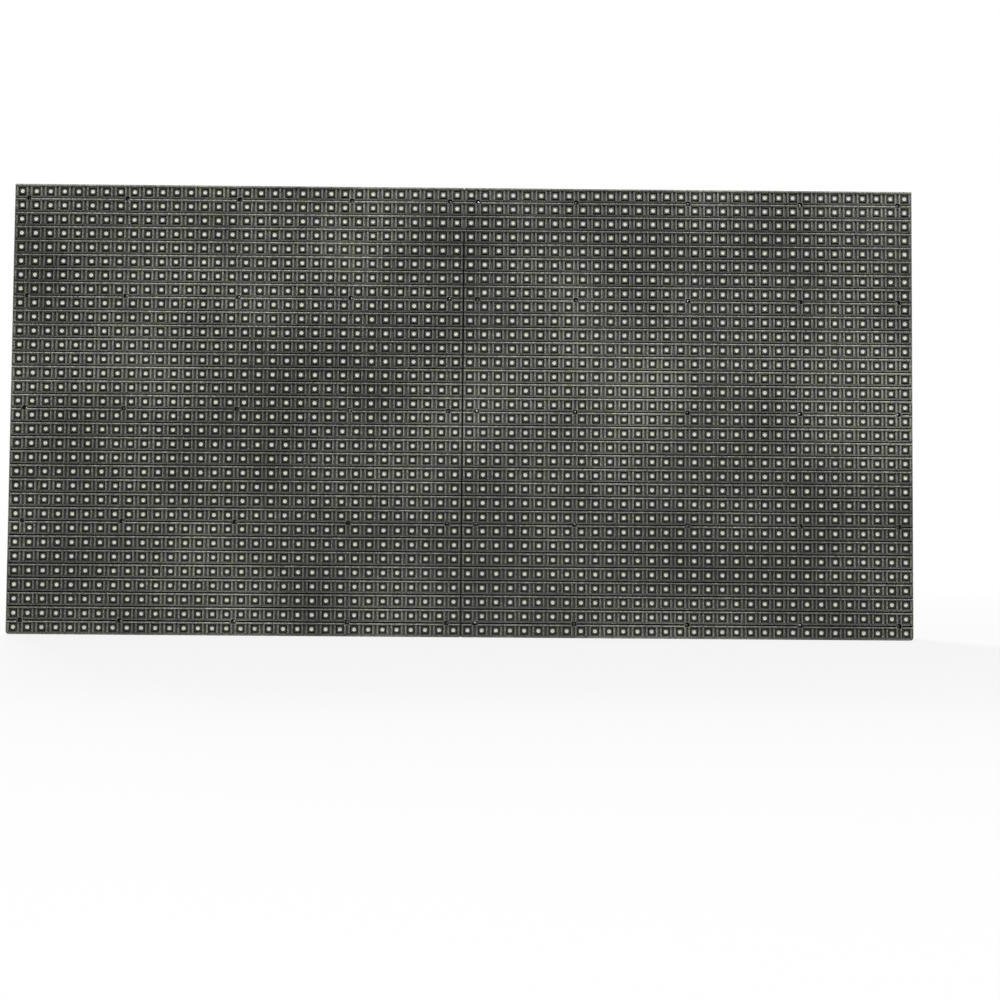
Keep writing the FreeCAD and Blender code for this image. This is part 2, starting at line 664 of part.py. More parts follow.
def pair_places(side):
    """One part of each resistor and capacitor pair, side is its sign from the pair's middle."""
    far_left, left, far_right, right = DRIVER_COLUMNS
    low, middle, upper_low, upper_middle = circuit_levels(
        size("driver_low_z"), size("driver_middle_z")
    )
    places = []
    for column in (left, far_right):
        for row in (low, middle, upper_low, upper_middle):
            places.append((
                f"({column} - sizes.stack_offset)",
                f"({row} + sizes.stack_rise {side} sizes.stack_pitch / 2)",
            ))
    beside_header = [(far_left, upper_low), (far_left, upper_middle)]
    for column in (far_left, right):
        for row, offset in (
            (low, "pair_near"), (middle, "pair_far"),
            (upper_low, "pair_near"), (upper_middle, "pair_far"),
        ):
            toward = "+" if (column, row) in beside_header else "-"
            places.append((
                f"({column} {toward} sizes.{offset} {side} sizes.pair_pitch / 2)",
                f"({row} + sizes.pair_rise)",
            ))
    return places


# Electrolytic capacitors: black base with two cut corners, aluminium can with a soft shoulder

CAN_PLACES = [
    (x, z)
    for x in ("(-sizes.can_x)", "sizes.can_x")
    for z in circuit_levels("sizes.can_z")
]


def capacitor_bases():
    """One square base per capacitor, its two upper corners cut."""
    body = new_body("capacitor_bases")
    sketch = new_sketch(body, "base_outlines", f"{BOARD_REAR} - sizes.can_base_thickness")
    half = "sizes.can_base_width / 2"
    cut = "sizes.can_base_chamfer"
    for x, z in CAN_PLACES:
        draw_outline(sketch, [
            (f"{x} - {half}", f"{z} - {half}"),
            (f"{x} + {half}", f"{z} - {half}"),
            (f"{x} + {half}", f"{z} + {half} - {cut}"),
            (f"{x} + {half} - {cut}", f"{z} + {half}"),
            (f"{x} - {half} + {cut}", f"{z} + {half}"),
            (f"{x} - {half}", f"{z} + {half} - {cut}"),
        ])
    pad(body, sketch, "base_slabs", size("can_base_thickness"))
    return body


def capacitor_cans():
    """The cans, each standing on its base."""
    cans = []
    for index, (x, z) in enumerate(CAN_PLACES):
        base = f"({BOARD_REAR} - sizes.can_base_thickness)"
        shoulder = f"({base} - sizes.can_height + sizes.can_shoulder)"
        side = disc(f"can_side_{index}", x, z, size("can_radius"), shoulder, base)
        top = doc.addObject("Part::Cone", f"can_top_{index}")
        top.Placement.Rotation = FreeCAD.Rotation(FreeCAD.Vector(1, 0, 0), -90)
        top.setExpression("Radius1", "sizes.can_radius")
        top.setExpression("Radius2", "sizes.can_radius - sizes.can_shoulder")
        top.setExpression("Height", "sizes.can_shoulder")
        top.setExpression("Placement.Base.x", x)
        top.setExpression("Placement.Base.y", f"-{shoulder}")
        top.setExpression("Placement.Base.z", z)
        cans.append(fuse(f"can_{index}", [side, top]))
    return group("capacitor_cans", cans)


# Ribbon headers: black shroud with a key notch and sixteen square pins

def header_housing(name, x, key_side):
    """The shroud round one header's pins, its notch toward the panel's middle."""
    body = new_body(name)
    mouth = f"({BOARD_REAR} - sizes.header_height)"
    half_x = "(sizes.header_width / 2)"
    half_z = "(sizes.header_pitch * (sizes.header_rows - 1) / 2 + sizes.header_end)"
    wall = "sizes.header_wall"
    outline = new_sketch(body, f"{name}_outline", mouth)
    draw_rectangle(
        outline,
        f"{x} - {half_x}", f"sizes.header_z - {half_z}",
        f"{x} + {half_x}", f"sizes.header_z + {half_z}",
    )
    pad(body, outline, f"{name}_block", size("header_height"))
    cavity = new_sketch(body, f"{name}_cavity_outline", mouth)
    draw_rectangle(
        cavity,
        f"{x} - {half_x} + {wall}", f"sizes.header_z - {half_z} + {wall}",
        f"{x} + {half_x} - {wall}", f"sizes.header_z + {half_z} - {wall}",
    )
    depth = "sizes.header_height - sizes.header_floor"
    pocket(body, cavity, f"{name}_cavity", depth)
    notch = new_sketch(body, f"{name}_notch_outline", mouth)
    edges = [f"{x} {key_side} {half_x}", f"{x} {key_side} ({half_x} - {wall})"]
    if key_side == "+":
        edges.reverse()
    draw_rectangle(
        notch,
        edges[0], "sizes.header_z - sizes.header_key / 2",
        edges[1], "sizes.header_z + sizes.header_key / 2",
    )
    pocket(body, notch, f"{name}_notch", depth)
    return body


def header_pins(name, x):
    """Two columns of square pins on the shroud's floor."""
    rear = f"({BOARD_REAR} - sizes.header_pin_height)"
    front = f"({BOARD_REAR} - sizes.header_floor)"
    pins = []
    for column in ("-", "+"):
        for index in range(int(number("sizes.header_rows"))):
            across = f"({x} {column} sizes.header_pitch / 2)"
            up = f"(sizes.header_z + sizes.header_pitch * ({index} - (sizes.header_rows - 1) / 2))"
            side = "left" if column == "-" else "right"
            pin = block(
                f"{name}_{side}_{index}", across, up,
                size("header_pin"), size("header_pin"), rear, front,
            )
            pins.append(pin)
    return group(name, pins)


# Power connector: white nylon, four pins in a shroud and a low ledge toward the mullion

def power_connector_housing():
    """Shroud, ledge and cavity as one moulding."""
    body = new_body("power_connector_housing")
    mouth = f"({BOARD_REAR} - sizes.power_height)"
    x = "(-sizes.power_x)"
    z = "(-sizes.power_z)"
    half_x = "(sizes.power_width / 2)"
    half_z = "(sizes.power_pitch * (sizes.power_pins - 1) / 2 + sizes.power_end)"
    wall = "sizes.power_wall"
    outline = new_sketch(body, "power_outline", mouth)
    draw_rectangle(
        outline, f"{x} - {half_x}", f"{z} - {half_z}", f"{x} + {half_x}", f"{z} + {half_z}"
    )
    pad(body, outline, "power_block", size("power_height"))
    ledge = new_sketch(body, "ledge_outline", f"{BOARD_REAR} - sizes.power_floor")
    draw_rectangle(
        ledge,
        f"{x} + {half_x}", f"{z} - {half_z} + {wall}",
        f"{x} + {half_x} + sizes.power_ledge", f"{z} + {half_z} - {wall}",
    )
    pad(body, ledge, "power_ledge", size("power_floor"))
    cavity = new_sketch(body, "power_cavity_outline", mouth)
    draw_rectangle(
        cavity,
        f"{x} - {half_x} + {wall}", f"{z} - {half_z} + {wall}",
        f"{x} + {half_x} - {wall}", f"{z} + {half_z} - {wall}",
    )
    pocket(body, cavity, "power_cavity", "sizes.power_height - sizes.power_floor")
    return body


def power_connector_pins():
    """Four square pins on the connector's floor."""
    rear = f"({BOARD_REAR} - sizes.power_pin_height)"
    front = f"({BOARD_REAR} - sizes.power_floor)"
    pins = []
    for index in range(int(number("sizes.power_pins"))):
        up = f"(sizes.power_pitch * ({index} - (sizes.power_pins - 1) / 2) - sizes.power_z)"
        pin = block(
            f"power_pin_{index}", "(-sizes.power_x)", up,
            size("power_pin"), size("power_pin"), rear, front,
        )
        pins.append(pin)
    return group("power_connector_pins", pins)


LEFT_COLUMNS = (f"(-{RIGHT} + sizes.led_pitch / 2)", "(-sizes.led_pitch / 2)")
RIGHT_COLUMNS = ("(sizes.led_pitch / 2)", f"({RIGHT} - sizes.led_pitch / 2)")
seam_edge = "(sizes.mask_seam / 2)"
pair_size = (size("small_part_length"), size("small_part_width"), size("small_part_thickness"))
driver_leads = "(sizes.driver_length - sizes.driver_lead_inset)"
switch_leads = "(sizes.switch_width - sizes.switch_lead_inset)"
buffer_leads = "(sizes.buffer_length - sizes.buffer_lead_inset)"
PARTS = [
    rear_frame(),
    threaded_inserts(),
    circuit_board(),
    led_columns("led_columns_left", LEFT_COLUMNS[0]),
    led_columns("led_columns_right", RIGHT_COLUMNS[0]),
    face_mask("face_mask_left", f"(-{RIGHT})", f"(-{seam_edge})", *LEFT_COLUMNS),
    face_mask("face_mask_right", seam_edge, RIGHT, *RIGHT_COLUMNS),
    chips("driver_chips", DRIVER_PLACES, size("driver_width"), size("driver_length")),
    chip_leads("driver_chip_leads", DRIVER_PLACES, size("driver_span"), driver_leads),
    chips("row_switch_chips", SWITCH_PLACES, size("switch_width"), size("switch_length")),
    chip_leads("row_switch_leads", SWITCH_PLACES, switch_leads, size("switch_span")),
    chips("buffer_chips", BUFFER_PLACES, size("buffer_width"), size("buffer_length")),
    chip_leads("buffer_chip_leads", BUFFER_PLACES, size("buffer_span"), buffer_leads),
    resistor_packs(),
    blocks_on_board("chip_capacitors", pair_places("+"), *pair_size),
    blocks_on_board("chip_resistors", pair_places("-"), *pair_size),
    capacitor_bases(),
    capacitor_cans(),
    header_housing("input_header_housing", "sizes.header_x", "-"),
    header_pins("input_header_pins", "sizes.header_x"),
    header_housing("output_header_housing", "(-sizes.header_x)", "+"),
    header_pins("output_header_pins", "(-sizes.header_x)"),
    power_connector_housing(),
    power_connector_pins(),
]

doc.recompute()
for item in doc.Objects:
    if "Invalid" in item.State or "Error" in item.State:
        raise RuntimeError(f"{item.Name} has failed")

os.makedirs("parts", exist_ok=True)
for part in PARTS:
    part.Label = part.Name
    if part.Shape.isNull() or not part.Shape.isValid():
        raise RuntimeError(f"{part.Label} has no valid shape")
    part.Shape.exportStep(f"parts/{part.Label}.step")
    print(part.Label, len(part.Shape.Solids), round(part.Shape.Volume, 1))
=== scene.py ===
import math

import bmesh
import bpy
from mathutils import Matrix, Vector


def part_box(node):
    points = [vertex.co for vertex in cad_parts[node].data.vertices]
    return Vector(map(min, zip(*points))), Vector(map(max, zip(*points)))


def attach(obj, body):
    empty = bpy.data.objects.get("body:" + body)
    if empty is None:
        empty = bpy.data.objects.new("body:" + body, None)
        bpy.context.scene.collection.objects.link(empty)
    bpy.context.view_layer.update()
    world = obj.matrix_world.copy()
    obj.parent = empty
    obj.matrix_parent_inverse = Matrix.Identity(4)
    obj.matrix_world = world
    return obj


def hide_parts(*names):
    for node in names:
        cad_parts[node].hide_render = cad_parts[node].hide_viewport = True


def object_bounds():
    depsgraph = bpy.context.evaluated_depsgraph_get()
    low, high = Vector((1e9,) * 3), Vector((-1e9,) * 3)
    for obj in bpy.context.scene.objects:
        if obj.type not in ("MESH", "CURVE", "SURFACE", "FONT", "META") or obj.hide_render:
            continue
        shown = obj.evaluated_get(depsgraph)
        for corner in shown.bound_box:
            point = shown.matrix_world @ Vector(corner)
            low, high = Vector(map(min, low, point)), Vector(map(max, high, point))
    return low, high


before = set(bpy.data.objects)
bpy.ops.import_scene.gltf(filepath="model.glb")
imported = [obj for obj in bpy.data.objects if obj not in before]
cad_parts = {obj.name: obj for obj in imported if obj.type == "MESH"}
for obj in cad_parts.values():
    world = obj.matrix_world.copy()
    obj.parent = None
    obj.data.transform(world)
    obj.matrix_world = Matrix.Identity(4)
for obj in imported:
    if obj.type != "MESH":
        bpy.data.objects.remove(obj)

cad_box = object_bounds()


# Rear frame: one tray of black glass-filled plastic with a truss of ribs, moulded in one shot.
# Round screw bosses and large discs stand at its nodes, with drilled-looking pilot holes.
# The spark-eroded mould leaves it satin and finely grained, with pale flow marks at the ribs.

mm = 0.001


def colour(code):
    """An sRGB hex colour as the linear values that a shader takes."""
    channels = [int(code[start:start + 2], 16) / 255 for start in (1, 3, 5)]
    linear = [c / 12.92 if c <= 0.04045 else ((c + 0.055) / 1.055) ** 2.4 for c in channels]
    return linear + [1]


def add(tree, kind, inputs=None, stops=(), **settings):
    """Adds a node with its settings, links or sets its inputs, and sets a ramp's stops."""
    node = tree.nodes.new(kind)
    for name, value in settings.items():
        setattr(node, name, value)
    for name, value in (inputs or {}).items():
        if isinstance(value, bpy.types.NodeSocket):
            tree.links.new(value, node.inputs[name])
        else:
            node.inputs[name].default_value = value
    for index, (position, code) in enumerate(stops):
        if index >= len(node.color_ramp.elements):
            node.color_ramp.elements.new(position)
        node.color_ramp.elements[index].position = position
        node.color_ramp.elements[index].color = colour(code)
    return node


def new_material(name, **constants):
    """A material with the plain values of its shader, and the piece's own coordinates."""
    material = bpy.data.materials.new(name)
    material.use_nodes = True
    tree = material.node_tree
    tree.nodes.clear()
    shader = add(tree, "ShaderNodeBsdfPrincipled")
    for socket, value in constants.items():
        shader.inputs[socket.replace("_", " ")].default_value = value
    add(tree, "ShaderNodeOutputMaterial", {"Surface": shader.outputs["BSDF"]})
    return material, tree, shader, add(tree, "ShaderNodeTexCoord").outputs["Object"]


def paint(name, material):
    """Gives a solid of the frame its material."""
    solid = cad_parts[name]
    solid.data.materials.clear()
    solid.data.materials.append(material)


def dress(tree, shader, tint, gloss, bump):
    """Links the tint, roughness and relief of a finish to its shader."""
    tree.links.new(tint, shader.inputs["Base Color"])
    tree.links.new(gloss.outputs["Result"], shader.inputs["Roughness"])
    tree.links.new(bump.outputs["Normal"], shader.inputs["Normal"])


# glass-filled polycarbonate, moulded: near black, satin, with paler flow marks and soft edges
frame_plastic, tree, shader, places = new_material(
    "glass_filled_polycarbonate_moulded", IOR=1.58, Specular_IOR_Level=0.35
)
flow = add(tree, "ShaderNodeTexNoise", {"Vector": places, "Scale": 1 / (14 * mm), "Detail": 4})
# the real grain is 0.1 mm; drawn at 0.5 mm so that it still shows in the picture
grain = add(tree, "ShaderNodeTexNoise", {"Vector": places, "Scale": 1 / (0.5 * mm), "Detail": 3})
shade = add(tree, "ShaderNodeMix", {
    "Factor": 0.45, "A": flow.outputs["Fac"], "B": grain.outputs["Fac"]
})
tint = add(tree, "ShaderNodeValToRGB", {"Fac": shade.outputs["Result"]}, [
    (0.34, "#3a3a3b"), (0.5, "#525253"), (0.6, "#666667"), (0.72, "#9a9a9a")
])
gloss = add(tree, "ShaderNodeMapRange", {
    "Value": grain.outputs["Fac"], "From Min": 0.3, "From Max": 0.7, "To Min": 0.46, "To Max": 0.66
})
edges = add(tree, "ShaderNodeBevel", {"Radius": 0.25 * mm}, samples=4)
bump = add(tree, "ShaderNodeBump", {
    "Height": grain.outputs["Fac"], "Strength": 0.6, "Distance": 0.09 * mm,
    "Normal": edges.outputs["Normal"],
})
dress(tree, shader, tint.outputs["Color"], gloss, bump)
paint("rear_frame", frame_plastic)


def circle(radius, depth, sides, centre=(0, 0)):
    """Points of a circle round the depth axis."""
    angles = [2 * math.pi * step / sides for step in range(sides)]
    return [
        (centre[0] + radius * math.cos(angle), depth, centre[1] + radius * math.sin(angle))
        for angle in angles
    ]


def rectangle(wide, tall, depth, centre=(0, 0), corner=0, steps=1):
    """Points of a rectangle across the depth axis, with corners rounded where asked."""
    points = []
    for quarter, (sx, sz) in enumerate(((1, 1), (-1, 1), (-1, -1), (1, -1))):
        middle_x = centre[0] + sx * (wide / 2 - corner)
        middle_z = centre[1] + sz * (tall / 2 - corner)
        for step in range(steps):
            angle = math.pi / 2 * (quarter + step / max(steps - 1, 1)) if corner else 0
            points.append((
                middle_x + corner * math.cos(angle), depth, middle_z + corner * math.sin(angle)
            ))
    return points


def stack(rings, way=1, cap=True):
    """Faces from ring to ring and over the last one, for a piece that rises toward way."""
    faces = []
    for ring, onward in zip(rings, rings[1:]):
        middle = sum((Vector(point) for point in ring + onward), Vector()) / (2 * len(ring))
        for index in range(len(ring)):
            after = (index + 1) % len(ring)
            corners = [Vector(p) for p in (ring[index], ring[after], onward[after], onward[index])]
            out = sum(corners, Vector()) / 4 - middle
            out.y = 0
            rise = corners[3].y - corners[0].y
            spread = (corners[3] - corners[0]).dot(out.normalized())
            faces.append((corners, (out.normalized() * rise - Vector((0, spread, 0))) * way))
    if cap:
        faces.append((rings[-1], (0, way, 0)))
    return faces


def new_shape(name, faces, smooth=False):
    """A mesh object from lists of corners in millimetres, each with the way its face looks."""
    shape = bmesh.new()
    for corners, outward in faces:
        made = shape.faces.new([shape.verts.new(Vector(corner) * mm) for corner in corners])
        made.normal_update()
        if made.normal.dot(Vector(outward)) < 0:
            made.normal_flip()
        made.smooth = smooth
    bmesh.ops.remove_doubles(shape, verts=shape.verts, dist=0.001 * mm)
    mesh = bpy.data.meshes.new(name)
    shape.to_mesh(mesh)
    shape.free()
    return bpy.data.objects.new(name, mesh)


def new_tree(name, inputs):
    """A geometry tree with named inputs after the geometry that it starts from."""
    tree = bpy.data.node_groups.new(name, "GeometryNodeTree")
    tree.interface.new_socket("Geometry", in_out="INPUT", socket_type="NodeSocketGeometry")
    for label, kind in inputs.items():
        tree.interface.new_socket(label, in_out="INPUT", socket_type=f"NodeSocket{kind}")
    tree.interface.new_socket("Geometry", in_out="OUTPUT", socket_type="NodeSocketGeometry")
    return tree, add(tree, "NodeGroupInput").outputs


def end_tree(tree, instances, finish):
    """Makes the copies real and gives them their material."""
    real = add(tree, "GeometryNodeRealizeInstances", {"Geometry": instances})
    painted = add(tree, "GeometryNodeSetMaterial", {
        "Geometry": real.outputs["Geometry"], "Material": finish
    })
    add(tree, "NodeGroupOutput", {"Geometry": painted.outputs["Geometry"]})


def grow(name, tree, start, values):
    """Runs a geometry tree from a mesh and keeps the result as a piece with a plain mesh."""
    piece = bpy.data.objects.new(name, start)
    bpy.context.scene.collection.objects.link(piece)
    modifier = piece.modifiers.new("build", "NODES")
    modifier.node_group = tree
    for item in tree.interface.items_tree:
        if item.in_out == "INPUT" and item.name in values:
            modifier[item.identifier] = values[item.name]
    graph = bpy.context.evaluated_depsgraph_get()
    mesh = bpy.data.meshes.new_from_object(piece.evaluated_get(graph), depsgraph=graph)
    piece.modifiers.clear()
    piece.data = mesh
    mesh.name = name
    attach(piece, "root")
    return piece


def copied(tree, points, piece, **options):
    """Copies of a piece at points, as instances."""
    unit = add(tree, "GeometryNodeObjectInfo", {"Object": piece})
    return add(tree, "GeometryNodeInstanceOnPoints", {
        "Points": points, "Instance": unit.outputs["Geometry"], **options
    }).outputs["Instances"]


copies_at_places, given = new_tree("copies_at_places", {"Piece": "Object", "Finish": "Material"})
turn = add(
    copies_at_places, "GeometryNodeInputNamedAttribute", {"Name": "turn"}, data_type="FLOAT"
)
turning = add(copies_at_places, "ShaderNodeCombineXYZ", {"Y": turn.outputs["Attribute"]})
copies = copied(
    copies_at_places, given["Geometry"], given["Piece"], Rotation=turning.outputs["Vector"]
)
end_tree(copies_at_places, copies, given["Finish"])


def repeat(piece, places, material, turns=None):
    """Copies of a piece at places x and z, turned about the depth axis where angles are given."""
    start = bpy.data.meshes.new("start")
    start.from_pydata([(x * mm, 0, z * mm) for x, z in places], [], [])
    angles = start.attributes.new("turn", "FLOAT", "POINT")
    angles.data.foreach_set("value", turns or [0.0] * len(places))
    return grow(
        f"{piece.name}s", copies_at_places, start, {"Piece": piece, "Finish": material}
    )


def turned(name, outline, sides, way=1, cap=True, smooth=True):
    """A piece turned about the depth axis, from radius and depth pairs in millimetres."""
    rings = [circle(radius, depth, sides) for radius, depth in outline]
    return new_shape(name, stack(rings, way, cap), smooth)


def mirrored(places):
    """Places of one quarter, repeated in all four."""
    return [(sx * x, sz * z) for x, z in places for sx in (-1, 1) for sz in (-1, 1)]


frame_web = -9.4
pilot_radius = 0.91
pilot_floor = -7.9
insert_places = mirrored([(152.7, 70.5)]) + [(0, -70.5), (0, 70.5)]
boss_places = mirrored([(153.3, 35), (20, 73.5), (140, 73.5)])
insert_boss = turned("insert_boss", [
    (5.05, frame_web), (5.05, -0.04), (4.97, 0.02), (2.68, 0.02), (2.56, -0.1), (2.54, -0.6),
], 48, cap=False, smooth=False)
corner_disc = turned("corner_disc", [
    (6.84, frame_web), (6.84, -0.31), (6.72, -0.2), (4.4, -0.1), (1.5, -0.06), (1.15, -0.14),
    (pilot_radius, -0.27), (pilot_radius, pilot_floor),
], 48, smooth=False)
screw_boss = turned("screw_boss", [
    (4.55, frame_web), (4.55, -0.62), (4.38, -0.4), (3.15, -0.4), (3.05, -0.54), (1.75, -0.54),
    (1.65, -0.36), (1.1, -0.36), (pilot_radius, -0.5), (pilot_radius, pilot_floor),
], 48, smooth=False)
repeat(insert_boss, insert_places, frame_plastic)
repeat(corner_disc, mirrored([(152.7, 56.5)]), frame_plastic)
repeat(screw_boss, boss_places, frame_plastic)

# Threaded inserts: turned brass with an M3 thread, pressed hot into their bosses. The cut
# metal is bright on the flange and darker down the thread.

thread_pitch = 0.5
thread_crest = 1.25
thread_root = 1.5
thread_outline = [(2.5, -6.0), (2.5, -0.3), (2.3, -0.08), (1.7, -0.08)]
for turn_number in range(10):
    depth = -0.4 - thread_pitch * turn_number
    thread_outline += [(thread_root, depth), (thread_crest, depth - thread_pitch / 2)]
thread_outline.append((thread_crest, -5.9))
threaded_insert = turned("threaded_insert", thread_outline, 24, smooth=False)


def grained(name, grain, stops, gloss=None, within=(0, 1), rounding=0, detail=2, **constants):
    """A material whose tint and roughness follow one noise, with its grain in millimetres."""
    material, tree, shader, places = new_material(name, **constants)
    noise = add(tree, "ShaderNodeTexNoise", {
        "Vector": places, "Scale": 1 / (grain * mm), "Detail": detail
    }).outputs["Fac"]
    tint = add(tree, "ShaderNodeValToRGB", {"Fac": noise}, stops)
    tree.links.new(tint.outputs["Color"], shader.inputs["Base Color"])
    if gloss:
        rough = add(tree, "ShaderNodeMapRange", {
            "Value": noise, "From Min": within[0], "From Max": within[1],
            "To Min": gloss[0], "To Max": gloss[1],
        })
        tree.links.new(rough.outputs["Result"], shader.inputs["Roughness"])
    if rounding:
        edges = add(tree, "ShaderNodeBevel", {"Radius": rounding * mm}, samples=4)
        tree.links.new(edges.outputs["Normal"], shader.inputs["Normal"])
    return material


# brass, turned: yellow, with fine rings left by the tool
turned_brass = grained(
    "free_cutting_brass_turned", 0.7, [(0.35, "#c79c3f"), (0.6, "#e6c766")],
    gloss=(0.22, 0.4), within=(0.3, 0.7), detail=3, Metallic=1.0,
)
inserts = repeat(threaded_insert, insert_places, turned_brass)
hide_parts("threaded_inserts")


# Circuit board: 1.6 mm of glass epoxy with copper on both sides under a glossy black resist.
# Its back shows fine tracks, rows of vias on the lights' grid, and white printed marks.

board_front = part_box("circuit_board")[0][1] / mm
board_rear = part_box("circuit_board")[1][1] / mm

# black resist, cured: glossy, with faint warmer and cooler fields of painted reflection
board_resist, tree, shader, places = new_material(
    "black_solder_resist_cured", IOR=1.52, Specular_IOR_Level=0.2
)
cloth = add(tree, "ShaderNodeTexNoise", {"Vector": places, "Scale": 1 / (0.8 * mm), "Detail": 2})
painted_reflection_fields = add(tree, "ShaderNodeTexNoise", {"Vector": places, "Scale": 1 / (30 * mm), "Detail": 1})
# painted reflection: broad fields of faint red, green and violet in the black
tint = add(tree, "ShaderNodeValToRGB", {"Fac": painted_reflection_fields.outputs["Fac"]}, [
    (0.35, "#040404"), (0.48, "#090506"), (0.55, "#130507"), (0.62, "#050605"), (0.75, "#07060a")
])
gloss = add(tree, "ShaderNodeMapRange", {
    "Value": cloth.outputs["Fac"], "From Min": 0.3, "From Max": 0.7, "To Min": 0.08, "To Max": 0.18
})
bump = add(tree, "ShaderNodeBump", {
    "Height": cloth.outputs["Fac"], "Strength": 0.12, "Distance": 0.02 * mm
})
dress(tree, shader, tint.outputs["Color"], gloss, bump)
paint("circuit_board", board_resist)

# copper track under resist, etched: a satin line painted pale grey, brighter than the board round
# it; the copper shows only faintly through the resist, and the rest is a painted sheen for the
# resist's gloss over the track
copper_painted_sheen = grained("etched_copper_under_resist", 20, [
    (0.36, "#8d8d92"), (0.5, "#a9a8ac"), (0.58, "#a58f88"), (0.66, "#9495a4")
], gloss=(0.25, 0.5), Metallic=0.3)

# tin solder, reflowed: bright grey-white with soft pools
solder = grained(
    "tin_solder_reflowed", 0.6, [(0.35, "#b4b4b2"), (0.65, "#e4e4e2")],
    gloss=(0.22, 0.5), Metallic=1.0,
)

# white epoxy ink, screen printed: flat, slightly thin at its edges
print_ink = grained(
    "white_epoxy_ink_printed", 1.2, [(0.3, "#d6d7d4"), (0.55, "#f2f2ef")], detail=3, Roughness=0.55
)

track_top = board_rear + 0.02
print_top = board_rear + 0.03


def track(points, width=0.28):
    """A flat track through points x and z in millimetres, as one quad for each run."""
    faces = []
    for (x, z), (next_x, next_z) in zip(points, points[1:]):
        length = math.hypot(next_x - x, next_z - z)
        side = Vector((z - next_z, 0, next_x - x)) * (width / 2 / length)
        start, end = Vector((x, track_top, z)), Vector((next_x, track_top, next_z))
        faces.append(([start + side, start - side, end - side, end + side], (0, 1, 0)))
    return faces


def laid(name, faces, material):
    """A flat piece that lies on the board's rear face."""
    piece = new_shape(name, faces)
    piece.data.materials.append(material)
    bpy.context.scene.collection.objects.link(piece)
    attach(piece, "root")


# the board carries its circuits twice, in two banks 80 mm apart
banks = (0, 80)
bus_levels = (25.1, 26.2, 44.9, 46.2, 48.5, 49.6, 51.7, 53.0)
bus_tracks = []
for level, height in enumerate(bus_levels):
    for bank in banks:
        for start, end in ((-137, -10), (10, 137)):
            points = [(start, bank - height)]
            step = 17 + 3 * (level % 4)
            x = start + step
            drop = 0.5
            while x + 1 < end:
                points += [(x, points[-1][1]), (x + abs(drop), points[-1][1] + drop)]
                drop = -drop
                x += step
            points.append((end, points[-1][1]))
            bus_tracks += track(points)
laid("bus_tracks", bus_tracks, copper_painted_sheen)

# short tracks that leave a driver's leads, on its left to vias and on its right in steps
pad_end = 5.2
fan_faces = []
for line in range(4):
    level, spread = 2.9 - line * 0.95, line * 0.9
    fan_faces += track([(-pad_end, level), (-6.6 - spread, level), (-8.8 - spread, level - 2.2)])
    points = [(pad_end, level), (6.0 + spread, level)]
    for _ in range(4 - line):
        x, z = points[-1]
        points += [(x + 0.8, z - 0.8), (x + 4.6, z - 0.8)]
    fan_faces += track(points)
    near = -7.2 + line * 0.5
    fan_faces += track([(-pad_end, -level), (near, -level), (near - 1, -level - 1)])
driver_pitch = 0.635
driver_leads = 12
for side in (-1, 1):
    for lead in range(driver_leads):
        z = (lead - (driver_leads - 1) / 2) * driver_pitch
        fan_faces += track([(side * 4.2, z), (side * 5.0, z)], 0.2)
driver_fan = new_shape("driver_fan", fan_faces)

driver_columns = (-109.8, -46.5, 46.5, 109.8)
driver_rows = [bank - row for bank in banks for row in (58.7, 39.4, 18.6)]
driver_places = [(x, z) for x in driver_columns for z in driver_rows]
repeat(driver_fan, driver_places, copper_painted_sheen)

# one light's pair of vias, with their drilled holes filled by resist
via_faces = []
for x, z in ((-1.1, 0.45), (-1.1, -0.45)):
    outer, inner = [circle(radius, track_top, 8, (x, z)) for radius in (0.3, 0.12)]
    via_faces += stack([outer, inner], cap=False)
via_pair = new_shape("via_pair", via_faces)
pitch = 5
light_columns = 64
light_rows = 32
light_places = [
    ((column + 0.5 - light_columns / 2) * pitch, (row + 0.5 - light_rows / 2) * pitch)
    for column in range(light_columns) for row in range(light_rows)
]
seen_from_behind = [(x, z) for x, z in light_places if 9 < abs(x) < 147 and abs(z) < 69]
# the vias take the tracks' pale finish, with its painted sheen
repeat(via_pair, seen_from_behind, copper_painted_sheen)


def printed(outer, inner=()):
    """A printed patch, or a line between an outer and an inner outline, in millimetres."""
    if not inner:
        return [(outer, (0, 1, 0))]
    count = len(outer)
    return [
        ([outer[at], outer[(at + 1) % count], inner[(at + 1) % count], inner[at]], (0, 1, 0))
        for at in range(count)
    ]


def printed_line(wide, tall, centre, corner=0.0, line=0.25, steps=1):
    """A closed printed line round a rectangle."""
    inner_corner = corner - line if corner else 0
    inside = (wide - 2 * line, tall - 2 * line, print_top, centre, inner_corner, steps)
    return printed(rectangle(wide, tall, print_top, centre, corner, steps), rectangle(*inside))


print_faces = []
for side in (-1, 1):
    print_faces += printed_line(131, 127, (side * 75.5, 0.5), 8.5, 0.45, 9)
arrow = [
    (0, 7.5), (5.65, 1.6), (2.4, 1.6), (2.4, -7.5), (-2.4, -7.5), (-2.4, 1.6), (-5.65, 1.6)
]
arrow_inside = [
    (0, 5.2), (2.3, 2.85), (0.95, 2.85), (0.95, -6.05), (-0.95, -6.05), (-0.95, 2.85), (-2.3, 2.85)
]
arrow_z = -49.5
for x in (78.4, -77):
    print_faces += printed(*[
        [(x + dx, print_top, arrow_z + dz) for dx, dz in shape] for shape in (arrow, arrow_inside)
    ])

